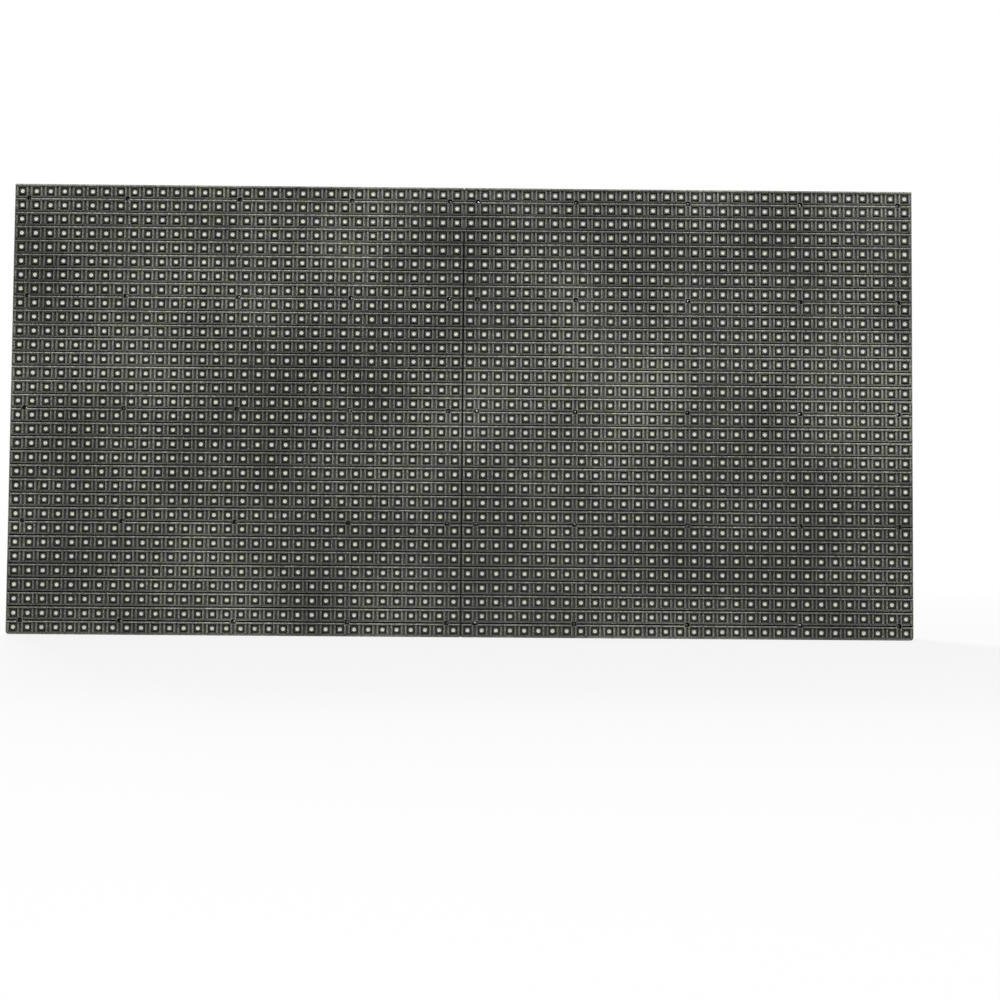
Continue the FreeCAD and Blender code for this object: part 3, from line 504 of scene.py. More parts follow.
# an empty table of two by eight fields beside one header, and bare outlines round connectors
table_x, table_z = -134, 27
print_faces += printed_line(7.5, 21.2, (table_x, table_z), 1.2, 0.3, 4)
for row in range(8):
    for column in (-1, 1):
        centre = (table_x + column * 1.75, table_z + (row - 3.5) * 2.5)
        print_faces += printed_line(3.0, 2.0, centre, 0.5, 0.22, 3)
power_x, power_z = -18.6, -11.6
print_faces += printed_line(12.9, 22.4, (power_x, power_z), line=0.3)
header_x, header_z = 124, 27
for x in (-header_x, header_x):
    print_faces += printed_line(10.6, 29.8, (x, header_z))

# a square round each can, with a plus sign beside it
can_places = [(x, bank - 52.6) for x in (-27, 27) for bank in banks]
for x, z in can_places:
    print_faces += printed_line(9.4, 9.4, (x, z), line=0.2)
    for wide, tall in ((2.2, 0.4), (0.4, 2.2)):
        print_faces += printed(rectangle(wide, tall, print_top, (x - 6.4, z - 3)))
laid("printed_marks", print_faces, print_ink)

# tips of the mask's screws, where they come through the board
screw_tip = turned("screw_tip", [
    (radius, board_rear + rise) for radius, rise in (
        (1.3, 0), (1.3, 0.05), (0.85, 0.05), (0.8, 0.5), (0.62, 0.6), (0.66, 0.95), (0.4, 1.1),
        (0.15, 1.5),
    )
], 12)
tip_columns = (40, 80, 120)
tip_places = mirrored([(x, 40) for x in tip_columns])
tip_places += [(x, 0) for x in (-120, -80, -40, *tip_columns)]
repeat(screw_tip, tip_places, solder)

# Chips: grey-topped epoxy bodies with drafted sides and rows of bent tin-plated leads, and a
# moulded dot at the first pin. Drivers stand in columns, row switches beside the middle bar.

# filled epoxy, moulded and sandblasted: mid grey, dull, with a fine grit
chip_epoxy = grained(
    "filled_epoxy_moulded", 0.4, [(0.35, "#4b4b48"), (0.65, "#6c6c68")],
    gloss=(0.45, 0.75), detail=3, IOR=1.5,
)


def chip_body(name, wide, tall):
    """A moulded body, drafted from its parting line, with a dot at its first pin."""
    levels = ((0.25, 0.3), (0.8, 0.0), (1.0, 0.0), (1.62, 0.3), (1.75, 0.5))
    rings = [
        rectangle(wide - draft, tall - draft, board_rear + rise) for rise, draft in levels
    ]
    dot = circle(0.35, board_rear + 1.755, 10, (wide / 2 - 0.9, tall / 2 - 0.9))
    return new_shape(name, stack(rings) + [(dot, (0, 1, 0))])


def chip_lead(name, start, end, width):
    """A bent lead that leaves a body to +x at half its height and ends flat on its pad."""
    half, thick = width / 2, 0.14
    run = [(start, 0.95), (start + 0.3, 0.95), (start + 0.55, 0.2), (end, 0.16)]
    faces = []
    for (x, rise), (next_x, next_rise) in zip(run, run[1:]):
        low, high = board_rear + rise, board_rear + next_rise
        top = [(x, low, -half), (x, low, half), (next_x, high, half), (next_x, high, -half)]
        faces.append((top, (0.5, 1, 0)))
        for z in (-half, half):
            side = [(x, low, z), (next_x, high, z), (next_x, high - thick, z), (x, low - thick, z)]
            faces.append((side, (0, 0, z)))
    reach = end - start
    pad = rectangle(reach * 0.8, width * 1.4, board_rear + 0.025, (end - reach * 0.3, 0))
    return new_shape(name, faces + [(pad, (0, 1, 0))])


def chip_set(kind, leads_node, places, size, ends, lead_width, lead_pitch, count, upright=False):
    """The bodies of one kind of chip and all their leads, in place of two of the solids."""
    bodies = repeat(chip_body(f"{kind}_body", *size), places, chip_epoxy)
    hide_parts(f"{kind}_chips")
    lead_places, turns = [], []
    for x, z in places:
        for side in (0, 1):
            for index in range(count):
                along = (index - (count - 1) / 2) * lead_pitch
                lead_places.append((x + along, z) if upright else (x, z + along))
                turns.append(math.pi * side + (math.pi / 2 if upright else 0))
    lead = chip_lead(f"{kind}_lead", *ends, lead_width)
    leads = repeat(lead, lead_places, solder, turns)
    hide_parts(leads_node)


switch_rows = [bank - row for bank in banks for row in (65.0, 51.4, 32.0)]
switch_places = [(x, z) for x in (-16.4, 16.4) for z in switch_rows]
buffer_places = [(x, z) for x in (-78, 78) for z in (12, 34)]
chip_set("driver", "driver_chip_leads", driver_places,
         (3.9, 8.1), (1.9, 3.65), 0.26, driver_pitch, driver_leads)
chip_set("row_switch", "row_switch_leads", switch_places,
         (4.8, 3.9), (1.9, 3.0), 0.42, 1.27, 4, upright=True)
chip_set("buffer", "buffer_chip_leads", buffer_places,
         (7.5, 12.8), (3.7, 5.15), 0.42, 1.27, 10)


# Resistor packs and small chip parts: ceramic blocks with tin ends, soldered to bright pads
# and framed by a printed line.


def block_shape(x, z, wide, tall, low, high, draft=0.0):
    """A small block on the board, in millimetres, without its underside."""
    levels = ((low, 0), (high - draft / 2, 0), (high, draft))
    return stack([
        rectangle(wide - cut, tall - cut, board_rear + rise, (x, z)) for rise, cut in levels
    ])


def pair_ends(high):
    """Tin caps at both ends of a chip part that lies across, with their pads."""
    faces = []
    for side in (-1, 1):
        faces += block_shape(side * 0.8, 0, 0.4, 1.25, 0.03, high, 0.08)
        faces += block_shape(side * 1.05, 0, 0.9, 1.45, 0.0, 0.06)
    return faces


pack_body = new_shape("pack_body", block_shape(0, 0, 1.5, 3.3, 0.02, 0.6, 0.1))
pack_ends = []
for side in (-1, 1):
    for index in range(4):
        z = (index - 1.5) * 0.8
        pack_ends += block_shape(side * 0.72, z, 0.36, 0.5, 0.0, 0.61, 0.06)
        pack_ends += block_shape(side * 1.25, z, 0.9, 0.48, 0.0, 0.08, 0.04)
pack_end_set = new_shape("pack_end", pack_ends)
pack_frame = new_shape("pack_line", printed_line(4.1, 4.3, (0, 0), line=0.2))

# glazed ceramic, fired: black, glossy
glazed_ceramic = grained(
    "black_glazed_ceramic_fired", 0.7, [(0.35, "#141415"), (0.65, "#262627")],
    gloss=(0.2, 0.4), IOR=1.55,
)

# titanate ceramic, fired: tan, with a slight speckle
tan_ceramic = grained(
    "tan_ceramic_fired", 0.3, [(0.35, "#8f7350"), (0.65, "#b3946c")], IOR=1.6, Roughness=0.45
)

pack_places = []
for x in driver_columns:
    for offset, step in ((-14.4, 0.4), (-7.6, -0.4), (7.6, 0.4), (14.4, -0.4)):
        pack_places += [(x + offset, bank - 20.7 + step) for bank in banks]
packs = repeat(pack_body, pack_places, glazed_ceramic)
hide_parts("resistor_packs")
repeat(pack_end_set, pack_places, solder)
repeat(pack_frame, pack_places, print_ink)

# a capacitor and a resistor stand together beside each driver of a bank's two lower rows, one
# over the other at half of the drivers and side by side at the rest
low_rows, middle_rows = (-58.7, 21.3), (-39.4, 40.6)
part_places = {1: [], -1: []}
for side, chosen in part_places.items():
    for x in (-46.5, 109.8):
        for z in low_rows + middle_rows:
            chosen.append((x - 9.4, z + 1.9 + side * 1.05))
    for x in (-109.8, 46.5):
        for rows, offset in ((low_rows, 10.7), (middle_rows, 14.2)):
            for z in rows:
                toward = 1 if x < -100 and z > 0 else -1
                chosen.append((x + toward * offset + side * 1.75, z + 2.8))
part_line = new_shape("part_line", printed_line(3.4, 2.0, (0, 0), line=0.2))
for kind, side, rise, ceramic, slot in (
    ("capacitor", 1, 0.79, tan_ceramic, "capacitor_tan"),
    ("resistor", -1, 0.55, glazed_ceramic, "resistor_black"),
):
    body = new_shape(f"{kind}_body", block_shape(0, 0, 1.3, 1.25, 0.03, rise, 0.1))
    bodies = repeat(body, part_places[side], ceramic)
    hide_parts(f"chip_{kind}s")
for kind, side, rise in (("capacitor", 1, 0.8), ("resistor", -1, 0.6)):
    repeat(new_shape(f"{kind}_end", pair_ends(rise)), part_places[side], solder)
repeat(part_line, part_places[1] + part_places[-1], print_ink)


# Electrolytic capacitors: drawn aluminium cans, crimped near the foot, on black moulded bases.
# A dark printed segment on the top marks one side.

base_top = board_rear + 1.1
can_top = base_top + 9.2
can = turned("capacitor_can", [
    (3.9, base_top), (4.0, base_top + 0.3), (4.0, base_top + 1.3), (3.55, base_top + 1.6),
    (3.55, base_top + 1.9), (4.0, base_top + 2.2), (4.0, can_top - 0.6), (3.9, can_top - 0.2),
    (3.6, can_top), (3.3, can_top - 0.06),
], 48)
segment = [
    (3.25 * math.cos(angle), can_top - 0.04, 3.25 * math.sin(angle))
    for angle in [math.radians(118 + step * 6) for step in range(22)]
]
can_mark = new_shape("can_mark", [(segment, (0, 1, 0))])
can_tab = new_shape("can_tab", [
    face for x in (-4.3, 4.3) for face in block_shape(x, 0, 1.4, 1.0, 0.0, 0.3)
])

# aluminium, drawn: silver-white, brushed round by the die
drawn_aluminium = grained(
    "aluminium_drawn", 1.0, [(0.35, "#cfd0d1"), (0.65, "#f0f0f0")],
    gloss=(0.2, 0.42), detail=4, Metallic=1.0,
)
cans = repeat(can, can_places, drawn_aluminium)
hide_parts("capacitor_cans")
repeat(can_mark, can_places, glazed_ceramic)
repeat(can_tab, can_places, solder)

# black nylon, moulded: even and slightly glossy, for bases and shrouds
black_nylon = grained(
    "black_nylon_moulded", 0.6, [(0.35, "#161617"), (0.65, "#242425")],
    gloss=(0.28, 0.48), rounding=0.15, IOR=1.53,
)
paint("capacitor_bases", black_nylon)


# Ribbon headers: black keyed shrouds with two columns of square gold-flashed pins, and the
# power connector: natural nylon with four tinned pins.

paint("input_header_housing", black_nylon)
paint("output_header_housing", black_nylon)

# natural nylon, moulded: milky white that lets a little light in
white_nylon = grained(
    "natural_nylon_moulded", 3, [(0.35, "#d9d8d0"), (0.65, "#eae9e2")],
    gloss=(0.3, 0.45), rounding=0.2, IOR=1.53, Subsurface_Weight=0.2, Subsurface_Scale=0.5 * mm,
)
paint("power_connector_housing", white_nylon)


def pin(name, width, foot, tip):
    """A square pin with a tapered tip, from the floor of its shroud."""
    levels = ((width, foot), (width, tip - width), (width * 0.4, tip))
    return new_shape(name, stack([
        rectangle(side, side, board_rear + rise) for side, rise in levels
    ]))


# gold flash over brass, plated: warm and bright
gold_flash = grained(
    "gold_flash_plated", 0.8, [(0.35, "#c9a458"), (0.65, "#ecd08a")],
    gloss=(0.2, 0.35), Metallic=1.0,
)

signal_pitch = 2.54
signal_pin = pin("signal_pin", 0.64, 2.5, 8.0)
for x, node in ((header_x, "input_header_pins"), (-header_x, "output_header_pins")):
    pin_places = [
        (x + column * signal_pitch / 2, header_z + (row - 3.5) * signal_pitch)
        for column in (-1, 1) for row in range(8)
    ]
    pins = repeat(signal_pin, pin_places, gold_flash)
    pins.name = node.replace("header", "ribbon")
    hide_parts(node)
power_pin = pin("power_pin", 1.14, 3.0, 9.0)
power_places = [(power_x - 2, power_z + (row - 1.5) * 3.96) for row in range(4)]
power_pins = repeat(power_pin, power_places, solder)
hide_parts("power_connector_pins")


# Lights: black surface-mount packages, 2.1 mm square, each with a round cup of cloudy resin
# over its three chips. They are soldered to the board's front in rows of 64 on a 5 mm grid.

light_height = 1.7
light_front = board_front - light_height
light_half = 1.05
cup_radius = 0.7
cup_sides = 12

mouth = circle(cup_radius, light_front, cup_sides)
corners = [(light_half * sx, light_half * sz) for sx, sz in ((1, 1), (-1, 1), (-1, -1), (1, -1))]
package = []
for index, (x, z) in enumerate(corners):
    next_x, next_z = corners[(index + 1) % 4]
    before_x, before_z = corners[index - 1]
    package.append((
        [(x, board_front, z), (next_x, board_front, next_z), (next_x, light_front, next_z),
         (x, light_front, z)],
        (x + next_x, 0, z + next_z),
    ))
    fan = [mouth[(index * 3 + step) % cup_sides] for step in (3, 2, 1, 0)]
    before = ((x + before_x) / 2, light_front, (z + before_z) / 2)
    after = ((x + next_x) / 2, light_front, (z + next_z) / 2)
    package.append(([before, (x, light_front, z), after, *fan], (0, -1, 0)))
light_package = new_shape("light_package", package)

floor_ring = circle(cup_radius * 0.82, light_front + 0.22, cup_sides)
dome = (0, light_front + 0.12, 0)
cup = stack([mouth, floor_ring], -1, cap=False)
for index, point in enumerate(floor_ring):
    cup.append(([point, floor_ring[(index + 1) % cup_sides], dome], (0, -1, 0)))
light_cup = new_shape("light_cup", cup, smooth=True)

light_grid, given = new_tree("light_grid", {
    "Columns": "Int", "Rows": "Int", "Pitch": "Float", "Middle": "Vector",
    "Piece": "Object", "Finish": "Material",
})
spans = []
for label in ("Columns", "Rows"):
    gaps = add(light_grid, "ShaderNodeMath", {0: given[label], 1: 1.0}, operation="SUBTRACT")
    spans.append(add(light_grid, "ShaderNodeMath", {
        0: gaps.outputs["Value"], 1: given["Pitch"]
    }, operation="MULTIPLY"))
points = add(light_grid, "GeometryNodeMeshGrid", {
    "Size X": spans[0].outputs["Value"], "Size Y": spans[1].outputs["Value"],
    "Vertices X": given["Columns"], "Vertices Y": given["Rows"],
})
upright = add(light_grid, "GeometryNodeTransform", {
    "Geometry": points.outputs["Mesh"], "Translation": given["Middle"],
    "Rotation": (math.pi / 2, 0, 0),
})
copies = copied(light_grid, upright.outputs["Geometry"], given["Piece"])
end_tree(light_grid, copies, given["Finish"])

# black epoxy package, moulded: dull, slightly olive, with a fine speckle
package_epoxy = grained(
    "black_epoxy_moulded", 0.6, [(0.35, "#1c1c15"), (0.7, "#323126")], gloss=(0.4, 0.65), IOR=1.55
)

# cloudy resin, dispensed: each light differs a little, from cool white to cream and lime,
# and the chips show through as small darker spots
cup_resin, tree, shader, places = new_material(
    "cloudy_silicone_dispensed", IOR=1.45, Roughness=0.35
)
cell = add(tree, "ShaderNodeVectorMath", {
    0: places, 1: (pitch * mm, pitch * mm, pitch * mm)
}, operation="SNAP")
chance = add(tree, "ShaderNodeTexWhiteNoise", {"Vector": cell.outputs["Vector"]})
tint = add(tree, "ShaderNodeValToRGB", {"Fac": chance.outputs["Value"]}, [
    (0.0, "#cfcfd3"), (0.3, "#d3d2cb"), (0.55, "#d6d6c6"), (0.8, "#d2d4be"), (1.0, "#cbc8c4")
])
chips_seen = add(tree, "ShaderNodeTexVoronoi", {"Vector": places, "Scale": 1 / (0.55 * mm)})
spots = add(tree, "ShaderNodeValToRGB", {"Fac": chips_seen.outputs["Distance"]}, [
    (0.08, "#8f8d7e"), (0.42, "#ffffff")
])
mixed = add(tree, "ShaderNodeMix", {
    "Factor": 0.6, "A": tint.outputs["Color"], "B": spots.outputs["Color"]
}, data_type="RGBA", blend_type="MULTIPLY")
tree.links.new(mixed.outputs["Result"], shader.inputs["Base Color"])

for side, sign in (("left", -1), ("right", 1)):
    size = {
        "Columns": light_columns // 2, "Rows": light_rows, "Pitch": pitch * mm,
        "Middle": (sign * pitch * light_columns / 4 * mm, 0, 0),
    }
    packages = grow(f"light_packages_{side}", light_grid, bpy.data.meshes.new("start"), {
        **size, "Piece": light_package, "Finish": package_epoxy
    })
    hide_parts(f"led_columns_{side}")
    grow(f"light_cups_{side}", light_grid, bpy.data.meshes.new("start"), {
        **size, "Piece": light_cup, "Finish": cup_resin
    })


# Face mask: two halves of matt black polycarbonate, one window for each light. Upright bars
# with a groove between them part the windows, and a thin visor runs over every row.

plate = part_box("face_mask_left")[0][1] / mm + 0.8
visor_front = plate - 0.8
lintel_front = plate + 0.2
sill_front = plate + 0.7
upright_floor = plate + 0.75
level_floor = plate + 1.9
plate_back = plate + 1.95
edge = pitch / 2
groove_side = 2.25
window_side = 1.35
window_top = 1.4
window_bottom = -1.35
visor_top = 2.22
visor_bottom = 1.8
band_top = -1.75
band_bottom = -2.22
soft_edge = 0.12
inner_drop, outer_drop = 0.3, 0.35
lip = plate + outer_drop
screw_room = 1.1


def wall_up(left, right, z, low, high, outward):
    """A wall across the cell at one height."""
    return ([(left, low, z), (right, low, z), (right, high, z), (left, high, z)], (0, 0, outward))


def wall_across(x, bottom, top, low, high, outward):
    """A wall up the cell at one side."""
    return ([(x, low, bottom), (x, low, top), (x, high, top), (x, high, bottom)], (outward, 0, 0))


def flat(left, right, bottom, top, depth, lower=None, way=-1):
    """A face of the mask, level or sloping to another depth at its bottom."""
    low = depth if lower is None else lower
    return (
        [(left, low, bottom), (right, low, bottom), (right, depth, top), (left, depth, top)],
        (0, way, 0),
    )


def mask_cell(name, visor=(-edge, edge), band=(-edge, edge)):
    """One cell of the mask round a window, its visor and lower band from one x to another."""
    chamfer = visor_front + soft_edge
    window = (-window_side, window_side)
    faces = [
        flat(-edge, edge, visor_top, edge, level_floor),
        wall_up(*visor, visor_top, level_floor, chamfer, 1),
        flat(*visor, visor_top - soft_edge, visor_top, chamfer, visor_front),
        flat(*visor, visor_bottom + soft_edge, visor_top - soft_edge, visor_front),
        flat(*visor, visor_bottom, visor_bottom + soft_edge, visor_front, chamfer),
        wall_up(*visor, visor_bottom, chamfer, upright_floor, -1),
        wall_up(*band, band_top, lip, upright_floor, 1),
        flat(*band, band_bottom, band_top, lip, plate),
        wall_up(*band, band_bottom, plate, level_floor, -1),
        flat(-edge, edge, -edge, band_bottom, level_floor),
        flat(*window, window_top, visor_bottom, lintel_front),
        wall_up(*window, window_top, lintel_front, plate_back, -1),
        flat(*window, band_top, window_bottom, sill_front, lip),
        wall_up(*window, window_bottom, sill_front, plate_back, 1),
        flat(-edge, edge, window_top, edge, plate_back, way=1),
        flat(-edge, edge, -edge, window_bottom, plate_back, way=1),
    ]
    for sign in (-1, 1):
        inner, outer = sign * window_side, sign * groove_side
        crest_in, crest_out = sign * (window_side + 0.17), sign * (groove_side - 0.22)
        faces += [
            flat(*sorted((outer, sign * edge)), band_top, visor_bottom, upright_floor),
            flat(*sorted((inner, sign * edge)), window_bottom, window_top, plate_back, way=1),
            flat(*sorted((crest_in, crest_out)), band_top, visor_bottom, plate),
            wall_across(inner, band_top, visor_bottom, plate + inner_drop, plate_back, -sign),
            wall_across(outer, band_top, visor_bottom, lip, upright_floor, sign),
        ]
        for base, drop, top in ((inner, inner_drop, crest_in), (outer, outer_drop, crest_out)):
            low, high = (base, plate + drop), (top, plate)
            faces.append((
                [(*low, band_top), (*high, band_top), (*high, visor_bottom), (*low, visor_bottom)],
                (base - top, -drop, 0),
            ))
    for (left, right), bottom, top, front, inner, way in (
        (visor, visor_bottom, visor_top, chamfer, visor_bottom, 1),
        (band, band_bottom, band_top, lip, band_top, -1),
    ):
        for x, limit, outward in ((left, -edge, -1), (right, edge, 1)):
            if abs(x) < edge:
                faces += [
                    wall_across(x, bottom, top, front, level_floor, outward),
                    flat(*sorted((x, limit)), bottom, top, level_floor),
                    wall_up(*sorted((x, limit)), inner, upright_floor, level_floor, way),
                ]
    return new_shape(name, faces)


# the cells that touch a screw leave room for it, under it in the visor and over it in the band
short_right, short_left = (-edge, edge - screw_room), (-edge + screw_room, edge)
cells = {
    "Plain": mask_cell("mask_cell"),
    "Under right": mask_cell("mask_cell_under_right", visor=short_right),
    "Under left": mask_cell("mask_cell_under_left", visor=short_left),
    "Over right": mask_cell("mask_cell_over_right", band=short_right),
    "Over left": mask_cell("mask_cell_over_left", band=short_left),
}
screw_columns = (-155, -120, -80, -40, -5, 5, 40, 80, 120, 155)
screw_rows = (-75, -40, 0, 40, 75)

mask_cells, given = new_tree("mask_cells", {
    **dict.fromkeys(cells, "Object"), "Finish": "Material"
})
kind = add(mask_cells, "GeometryNodeInputNamedAttribute", {"Name": "kind"}, data_type="INT")
joined = add(mask_cells, "GeometryNodeJoinGeometry")
for index, label in enumerate(cells):
    chosen = add(mask_cells, "FunctionNodeCompare", data_type="INT", operation="EQUAL")
    whole = [socket for socket in chosen.inputs if socket.type == "INT"]
    mask_cells.links.new(kind.outputs["Attribute"], whole[0])
    whole[1].default_value = index
    copies = copied(
        mask_cells, given["Geometry"], given[label], Selection=chosen.outputs["Result"]
    )
    mask_cells.links.new(copies, joined.inputs["Geometry"])
end_tree(mask_cells, joined.outputs["Geometry"], given["Finish"])

# matt polycarbonate, spark-eroded: warm dark grey, with broad flow clouds; faces are painted
# darker the further back they lie, a painted highlight that keeps the visors and bars paler and a
# painted shade that leaves the grooves near black; the grain is drawn at 0.4 mm, three times its
# size, so that it shows
mask_plastic, tree, shader, places = new_material("matt_polycarbonate_spark_eroded", IOR=1.58)
cloud = add(tree, "ShaderNodeTexNoise", {"Vector": places, "Scale": 1 / (45 * mm), "Detail": 3})
grit = add(tree, "ShaderNodeTexNoise", {"Vector": places, "Scale": 1 / (0.4 * mm), "Detail": 3})
blotch = add(tree, "ShaderNodeTexNoise", {"Vector": places, "Scale": 1 / (3.5 * mm), "Detail": 2})
shade = add(tree, "ShaderNodeMix", {
    "Factor": 0.6, "A": cloud.outputs["Fac"], "B": grit.outputs["Fac"]
})
tint = add(tree, "ShaderNodeValToRGB", {"Fac": shade.outputs["Result"]}, [
    (0.38, "#50504b"), (0.5, "#7c7c77"), (0.61, "#bdbdb4")
])
hue = add(tree, "ShaderNodeValToRGB", {"Fac": blotch.outputs["Fac"]}, [
    (0.36, "#e9e7f4"), (0.5, "#ffffff"), (0.64, "#f3f4dc")
])
mixed = add(tree, "ShaderNodeMix", {
    "Factor": 0.8, "A": tint.outputs["Color"], "B": hue.outputs["Color"]
}, data_type="RGBA", blend_type="MULTIPLY")
depth = add(tree, "ShaderNodeSeparateXYZ", {"Vector": places})
# painted shade and highlight: depth runs from the visors' fronts to the level floor, and the ramp
# darkens each face by how far back it lies
painted_shade_depth = add(tree, "ShaderNodeMapRange", {
    "Value": depth.outputs["Y"], "From Min": visor_front * mm, "From Max": level_floor * mm
})
painted_highlight_and_shade = add(tree, "ShaderNodeValToRGB", {"Fac": painted_shade_depth.outputs["Result"]}, [
    (0.0, "#ffffff"), (0.22, "#ffffff"), (0.29, "#c2c2be"), (0.43, "#8c8c8a"), (0.6, "#626262"),
    (0.9, "#0c0c0c"),
])
mixed = add(tree, "ShaderNodeMix", {
    "Factor": 1.0, "A": mixed.outputs["Result"], "B": painted_highlight_and_shade.outputs["Color"]
}, data_type="RGBA", blend_type="MULTIPLY")
gloss = add(tree, "ShaderNodeMapRange", {
    "Value": grit.outputs["Fac"], "To Min": 0.4, "To Max": 0.7
})
bump = add(tree, "ShaderNodeBump", {
    "Height": grit.outputs["Fac"], "Strength": 0.6, "Distance": 0.06 * mm
})
dress(tree, shader, mixed.outputs["Result"], gloss, bump)

# the two halves meet above seam_from and part below it; near the bottom corners the mesh is
# cut along a few lines, so that it can follow their round
seam_from = 64.0
seam_to = 79.5
seam_closed = 0.03
seam_face = plate + 0.2
seam_gap = 0.24
visor_inset = 0.28
corner_round = 1.1
corner_cuts = (0, 0.5, 0.86)
rim = 0.3
for side, sign in (("left", -1), ("right", 1)):
    low, high = [[value / mm for value in corner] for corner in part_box(f"face_mask_{side}")]
    outer_x, seam_x = (low[0], high[0]) if sign < 0 else (high[0], low[0])
    middles = [(x, z) for x, z in light_places if x * sign > 0]
    kinds = []
    for x, z in middles:
        under, over = [
            any(abs(z + way * edge - row) < 1 for row in screw_rows) for way in (1, -1)
        ]
        right, left = [
            any(abs(x + way * edge - column) < 1 for column in screw_columns) for way in (1, -1)
        ]
        beside = 1 if right else 2 if left else 0
        kinds.append(beside if under else beside + 2 if over and beside else 0)
    start = bpy.data.meshes.new("start")
    start.from_pydata([(x * mm, 0, z * mm) for x, z in middles], [], [])
    start.attributes.new("kind", "INT", "POINT").data.foreach_set("value", kinds)
    mask = grow(
        f"mask_{side}", mask_cells, start, {**cells, "Finish": mask_plastic}
    )
    body = bmesh.new()
    body.from_mesh(mask.data)

    # closing bars along the rims, and end caps of the visors
    bars = [
        (sorted((outer_x, outer_x - sign * rim)), (low[2], high[2]), plate),
        (sorted((seam_x, seam_x + sign * rim)), (seam_from, high[2]), seam_face),
        ((low[0], high[0]), (low[2], low[2] + rim), plate),
        ((low[0], high[0]), (high[2] - rim, high[2]), plate),
    ]
    for (left, right), (bottom, top), face in bars:
        for point in bmesh.ops.create_cube(body, size=1)["verts"]:
            point.co.x = (left if point.co.x < 0 else right) * mm
            point.co.y = (face if point.co.y < 0 else board_front) * mm
            point.co.z = (bottom if point.co.z < 0 else top) * mm
    chamfer = visor_front + soft_edge
    visor_end = [
        (level_floor, visor_bottom), (level_floor, visor_top), (chamfer, visor_top),
        (visor_front, visor_top - soft_edge), (visor_front, visor_bottom + soft_edge),
        (chamfer, visor_bottom),
    ]
    for _, middle in [place for place in middles if abs(place[0]) < pitch]:
        for x, outward in ((outer_x, sign), (seam_x, -sign)):
            cap = body.faces.new([
                body.verts.new(Vector((x, y, middle + z)) * mm) for y, z in visor_end
            ])
            cap.normal_update()
            if cap.normal.x * outward < 0:
                cap.normal_flip()

    # the seam, the visors' ends and the round corners
    corner_x = abs(outer_x) - corner_round
    corner_z = -low[2] - corner_round
    for share in corner_cuts:
        for spot, normal in (
            ((sign * (corner_x + share * corner_round), 0, 0), (1, 0, 0)),
            ((0, 0, -corner_z - share * corner_round), (0, 0, 1)),
        ):
            whole = body.verts[:] + body.edges[:] + body.faces[:]
            bmesh.ops.bisect_plane(body, geom=whole, plane_co=Vector(spot) * mm, plane_no=normal)
    for point in body.verts:
        x, y, z = [value / mm for value in point.co]
        seam = seam_closed if seam_from < z < seam_to else seam_gap
        reach = abs(outer_x) - (visor_inset if y < plate - 0.05 else 0)
        x = sign * min(max(abs(x) if x * sign > 0 else 0, seam), reach)
        beyond = Vector((abs(x) - corner_x, -z - corner_z))
        if min(beyond) > 0 and beyond.length > corner_round:
            beyond = beyond.normalized() * corner_round
            x, z = sign * (corner_x + beyond.x), -corner_z - beyond.y
        point.co = Vector((x, y, z)) * mm
    bmesh.ops.remove_doubles(body, verts=body.verts, dist=0.002 * mm)
    for face in body.faces:
        face.material_index = len(mask.data.materials) - 1
    body.to_mesh(mask.data)
    body.free()
    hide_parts(f"face_mask_{side}")


# Mask screws: small black self-tapping screws, each in a round well of the mask where four
# cells meet. They hold both halves and the board to the frame.

well_floor = plate_back + 0.5
head_top = plate + 0.8
screw_well = turned("screw_well", [
    (1.1, plate_back), (1.1, plate), (1.04, plate - 0.08), (0.96, plate - 0.08), (0.9, plate),
    (0.9, well_floor),
], 20, way=-1, smooth=False)
screw_head = turned("screw_head", [
    (0.68, well_floor), (0.68, head_top + 0.2), (0.55, head_top), (0.3, head_top - 0.08),
], 16, way=-1)
# a flat cross laid over the head that stands for its recess; its near-black finish is painted
# shadow
screw_cross = new_shape("screw_cross", [
    flat(-wide, wide, -tall, tall, head_top - 0.085)
    for wide, tall in ((0.4, 0.1), (0.1, 0.4))
])

# black oxide on steel, dipped: blue-black, with random near-white patches that are partly worn
# steel and partly a painted glint
screw_steel = grained("black_oxide_steel_dipped", 0.8, [
    (0.42, "#303032"), (0.54, "#757577"), (0.62, "#f6f6f4")
], gloss=(0.2, 0.45), detail=3, Metallic=1.0)

# the cross recess of the head, drawn as a flat near-black cross just over the head: painted
# shadow, with a little dust
recess_painted_shadow = grained(
    "black_oxide_steel_recess", 0.4, [(0.4, "#050506"), (0.7, "#131315")],
    Metallic=0.2, Roughness=0.7,
)
screw_places = [(x, z) for x in screw_columns for z in screw_rows]
screw_turns = [(index * 0.7) % 1.5 for index in range(len(screw_places))]
# the wells share the mask's finish, so their deep walls take its painted shade and show near black
repeat(screw_well, screw_places, mask_plastic)
repeat(screw_head, screw_places, screw_steel, screw_turns)
repeat(screw_cross, screw_places, recess_painted_shadow, screw_turns)


# Stage: a plain pale floor that runs out into a white world, three soft lamps, and a camera
# where the photographer stood, nearly square to the face and a little below its middle.

floor_height = cad_box[0][2] / mm
floor_shape = new_shape("floor", [(rectangle(6000, 6000, 0), (0, -1, 0))])
for point in floor_shape.data.vertices:
    point.co = (point.co.x, point.co.z, floor_height * mm)
floor_shape.data.flip_normals()
bpy.context.scene.collection.objects.link(floor_shape)

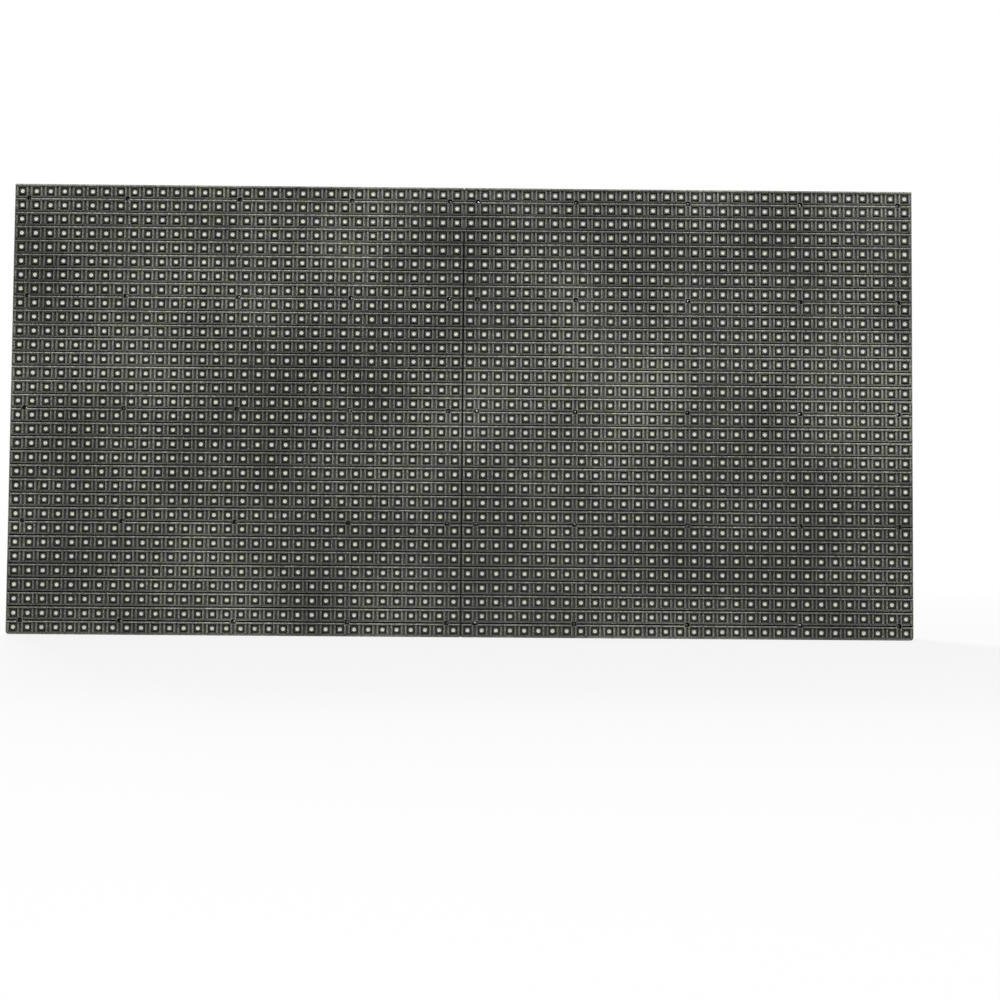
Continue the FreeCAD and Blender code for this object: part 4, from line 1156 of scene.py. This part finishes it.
# paper, matt: near white where the object's shadow falls, and pure white further out
paper, tree, shader, places = new_material("white_studio_paper", Roughness=0.9)
shader.inputs["Base Color"].default_value = colour("#f4f4f2")
seen = add(tree, "ShaderNodeLightPath")
away = add(tree, "ShaderNodeVectorMath", {0: places}, operation="LENGTH")
share = add(tree, "ShaderNodeMapRange", {
    "Value": away.outputs["Value"], "From Min": 0.18, "From Max": 0.6, "To Min": 0.8, "To Max": 1.0
})
looked_at = add(tree, "ShaderNodeMath", {
    0: seen.outputs["Is Camera Ray"], 1: seen.outputs["Is Glossy Ray"]
}, operation="MAXIMUM")
amount = add(tree, "ShaderNodeMath", {
    0: looked_at.outputs["Value"], 1: share.outputs["Result"]
}, operation="MULTIPLY")
white = add(tree, "ShaderNodeEmission", {"Color": (1, 1, 1, 1), "Strength": 1.0})
mixed = add(tree, "ShaderNodeMixShader", {
    0: amount.outputs["Value"], 1: shader.outputs["BSDF"], 2: white.outputs["Emission"]
})
output = [node for node in tree.nodes if node.bl_idname == "ShaderNodeOutputMaterial"][0]
tree.links.new(mixed.outputs["Shader"], output.inputs["Surface"])
floor_shape.data.materials.append(paper)

world = bpy.data.worlds.new("studio")
bpy.context.scene.world = world
world.use_nodes = True
tree = world.node_tree
tree.nodes.clear()
seen = add(tree, "ShaderNodeLightPath")
direct = add(tree, "ShaderNodeMath", {
    0: seen.outputs["Is Camera Ray"], 1: seen.outputs["Is Transmission Ray"]
}, operation="MAXIMUM")
white = add(tree, "ShaderNodeBackground", {"Color": (1, 1, 1, 1), "Strength": 1.0})
soft = add(tree, "ShaderNodeBackground", {"Color": colour("#eceeee"), "Strength": 0.28})
mixed = add(tree, "ShaderNodeMixShader", {
    0: direct.outputs["Value"], 1: soft.outputs["Background"], 2: white.outputs["Background"]
})
add(tree, "ShaderNodeOutputWorld", {"Surface": mixed.outputs["Shader"]})

for name, spot, reach, power in (
    ("lamp_front", (0.32, -1.25, 0.8), 0.6, 15),
    ("lamp_left", (-1.2, -0.6, 0.5), 0.8, 3),
    ("lamp_back", (-0.5, 1.2, 0.9), 0.7, 18),
):
    data = bpy.data.lights.new(name, "AREA")
    data.size = reach
    data.energy = power
    lamp = bpy.data.objects.new(name, data)
    bpy.context.scene.collection.objects.link(lamp)
    lamp.location = spot
    lamp.rotation_euler = (-Vector(spot)).to_track_quat("-Z", "Y").to_euler()

camera_data = bpy.data.cameras.new("camera")
camera_data.sensor_width = 36
camera_data.lens = 43.4
camera_data.clip_start = 0.01
camera = bpy.data.objects.new("camera", camera_data)
bpy.context.scene.collection.objects.link(camera)
camera.location = (11.4 * mm, -441.4 * mm, -46.9 * mm)
camera.rotation_euler = [math.radians(angle) for angle in (92.076, -0.45, -0.312)]
bpy.context.scene.camera = camera
bpy.context.scene.view_settings.view_transform = "Standard"
